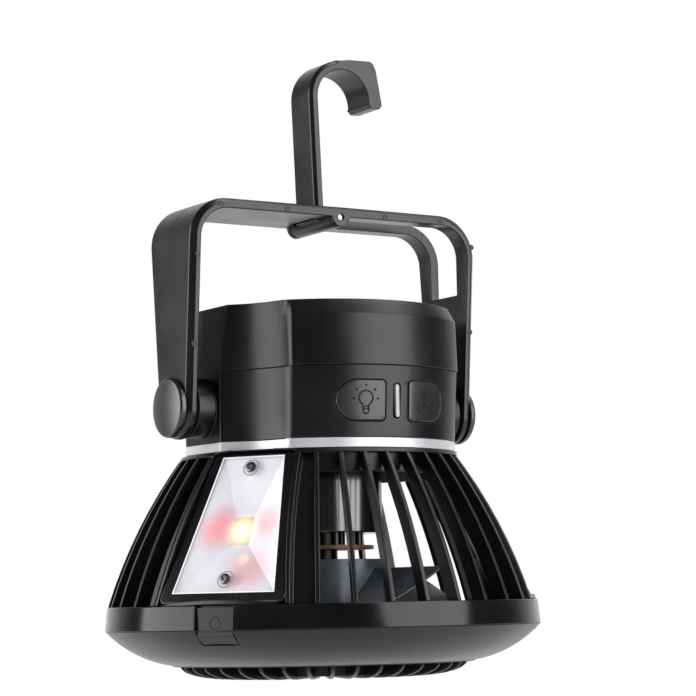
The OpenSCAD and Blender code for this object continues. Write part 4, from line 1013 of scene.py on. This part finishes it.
# %% Parting line
# the outer bend of the handle, where the line starts and ends, and how it lies
BEND_R, LINE_FOOT_Z, LINE_END_X = 18.6, 131, -7
LINE_R, LINE_SUNK = 0.16, 0.06
out_x, top_z = (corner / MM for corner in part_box("handle")[1].xz)
corner_x, corner_z = -out_x + BEND_R, top_z - BEND_R
path_mm = [(-out_x, LINE_FOOT_Z)]
path_mm += [(corner_x - dx, corner_z + dz) for dx, dz in arc(0, 0, BEND_R, 0, 90, 15)]
path_mm += [(LINE_END_X, top_z)]
parting = tube([((x + LINE_SUNK) * MM, 0, (z - LINE_SUNK) * MM) for x, z in path_mm],
               LINE_R)
parting.name = "handle_parting_line"
parting.data.materials.append(abs_satin)
on_body(parting, "handle")
print(parting.name, len(path_mm), "points")

# %% Ejector marks
EDGE_FACE, CROSSBAR_Z, MARK_R, MARK_T = -19.6, 202.3, 1.25, 0.3
RIM_W, STEP_W, DISH = 0.3, 0.15, 0.14
# along the crossbar, then on the arms
MARKS = [(x, EDGE_FACE, CROSSBAR_Z) for x in (-59.5, -26.2, 24.5, 54.4)]
MARKS += [(-70.6, -19.0, 180), (71.4, -19.5, 191.6), (71.4, -16.7, 153), (-71.4, -15.8, 142)]
bpy.ops.object.select_all(action="DESELECT")
bpy.ops.mesh.primitive_cylinder_add(vertices=28, radius=MARK_R * MM, depth=MARK_T * MM)
mark = bpy.context.object
pick(mark, "FACE", lambda f: f.normal.z > 0.9)
bpy.ops.mesh.inset(thickness=RIM_W * MM)
bpy.ops.mesh.inset(thickness=STEP_W * MM)
bpy.ops.transform.translate(value=(0, 0, -DISH * MM))
bpy.ops.object.mode_set(mode="OBJECT")
edge_round(mark, 0.04, 30)
smooth(mark)
marks = [placed(mark, f"mark_{number}", Vector(place) * MM, Vector((0, -1, 0)))
         for number, place in enumerate(MARKS)]
bpy.data.objects.remove(mark)
marks = joined(marks, "handle_ejector_marks")
marks.data.materials.clear()
marks.data.materials.append(abs_satin)
on_body(marks, "handle")
print("ejector marks", len(MARKS))

# %% [markdown]
# The pivot covers are low domes. A dome is turned like a bowl on a lathe: its
# profile is drawn once and spun round the pivot's axis.

# %% Pivot covers
def spun(name, profile, centre, axis, start, steps=72):
    """A closed skin: a profile of (along, out) points in mm spun round an axis."""
    points = [(centre + axis * a * MM + start * r * MM) for a, r in profile]
    mesh = bpy.data.meshes.new(name)
    mesh.from_pydata(points, [(i, i + 1) for i in range(len(points) - 1)], [])
    piece = linked(name, mesh)
    edit_all(piece)
    bpy.ops.mesh.spin(steps=steps, angle=math.tau, center=centre, axis=axis)
    bpy.ops.mesh.select_all(action="SELECT")
    bpy.ops.mesh.remove_doubles(threshold=WELD)
    face_out()
    return piece


COVER_H, FOOT_EDGE, SHOULDER, DOME_RISE, DOME_STEPS = 3.9, 0.3, 1.5, 0.9, 8
low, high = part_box("pivot_covers")
cover_top, cover_r = high.x / MM, (high.z - low.z) / 2 / MM
foot = cover_top - COVER_H
# a flat foot with a broken edge, an upright side, a round shoulder and a low dome
profile = [(foot, 0), (foot, cover_r - FOOT_EDGE), (foot + FOOT_EDGE, cover_r)]
profile += [(cover_top - DOME_RISE - SHOULDER + rise, cover_r - SHOULDER + reach)
            for reach, rise in arc(0, 0, SHOULDER, 0, 75, 5)]
last_a, last_r = profile[-1]
profile += [(last_a + (cover_top - last_a) * (1 - (1 - k / DOME_STEPS) ** 2),
             last_r * (1 - k / DOME_STEPS)) for k in range(1, DOME_STEPS + 1)]
centre = Vector((0, 0, (low.z + high.z) / 2))
covers = [spun(f"cover_{s}", profile, centre, Vector((s, 0, 0)), Vector((0, 0, 1)))
          for s in (-1, 1)]
covers = joined(covers, "pivot_cover_domes")
covers.data.materials.append(abs_cover)
smooth(covers, 35)
stand_for(covers, "pivot_covers")
print("cover radius", round(cover_r, 2), "mm")

# %% [markdown]
# The charge indicator is a pale frosted bar in a dark slot. The bar of the CAD
# fills its slot, so the piece that stands for it is narrower, and a black collar
# fills the rest.

# %% Indicator
# half widths and half heights, then how deep the fronts and the backs lie, in mm
LIGHT_HALF, COLLAR_HALF = (0.85, 6.95), (1.66, 7.25)
LIGHT_IN, COLLAR_IN, PILL_BACK = 0.12, 0.35, 2
low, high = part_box("indicator_bar")
face_y, mid = low.y, (low + high) / 2


def pill(name, halves, depth_in, material):
    """An upright pill: a cylinder whose two halves are pulled apart, then bevelled."""
    half_width, half_height = (half * MM for half in halves)
    front, back = face_y + depth_in * MM, face_y + PILL_BACK * MM
    bpy.ops.object.select_all(action="DESELECT")
    bpy.ops.mesh.primitive_cylinder_add(vertices=40, radius=half_width, depth=back - front,
                                        location=(0, 0, 0), rotation=(math.pi / 2, 0, 0))
    piece = bpy.context.object
    piece.name = name
    bpy.ops.object.transform_apply(rotation=True)
    for vertex in piece.data.vertices:
        if abs(vertex.co.z) > 1e-6:
            vertex.co.z += math.copysign(half_height - half_width, vertex.co.z)
    piece.data.transform(Matrix.Translation((mid.x, (front + back) / 2, mid.z)))
    edge_round(piece, 0.3, 40, 3)
    smooth(piece)
    piece.data.materials.append(material)
    return piece


bar = pill("indicator_light", LIGHT_HALF, LIGHT_IN, frosted)
collar = pill("indicator_collar", COLLAR_HALF, COLLAR_IN, abs_gloss)
stand_for(bar, "indicator_bar")
on_body(collar, "fan_head")
print("indicator", [round(side / MM, 2) for side in bar.dimensions])

# %% [markdown]
# Each latch plate carries a small round mark, where a pin pushed the moulding
# out of its mould.

# %% Latch marks
PIN_R, PIN_WIRE, PIN_HEIGHT = 2.4, 0.22, 0.58
bpy.ops.mesh.primitive_torus_add(major_radius=PIN_R * MM, minor_radius=PIN_WIRE * MM,
                                 major_segments=40, minor_segments=8)
ring = bpy.context.object
bpy.ops.object.shade_smooth()
low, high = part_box("latch_tabs")
latch_marks = []
for side, (middle, out, up, across) in LAMPS.items():
    flat = Vector((out.x, out.y, 0)).normalized()
    reach = max(v.co.dot(flat) for v in nodes["latch_tabs"].data.vertices)
    place = flat * reach + Vector((0, 0, low.z + PIN_HEIGHT * (high.z - low.z)))
    latch_marks.append(placed(ring, side + "_latch_mark", place, flat))
bpy.data.objects.remove(ring)
latch_marks = joined(latch_marks, "latch_marks")
latch_marks.data.materials.append(abs_satin)
on_body(latch_marks, "fan_head")
print("latch marks at", round(place.z / MM, 1), "mm")
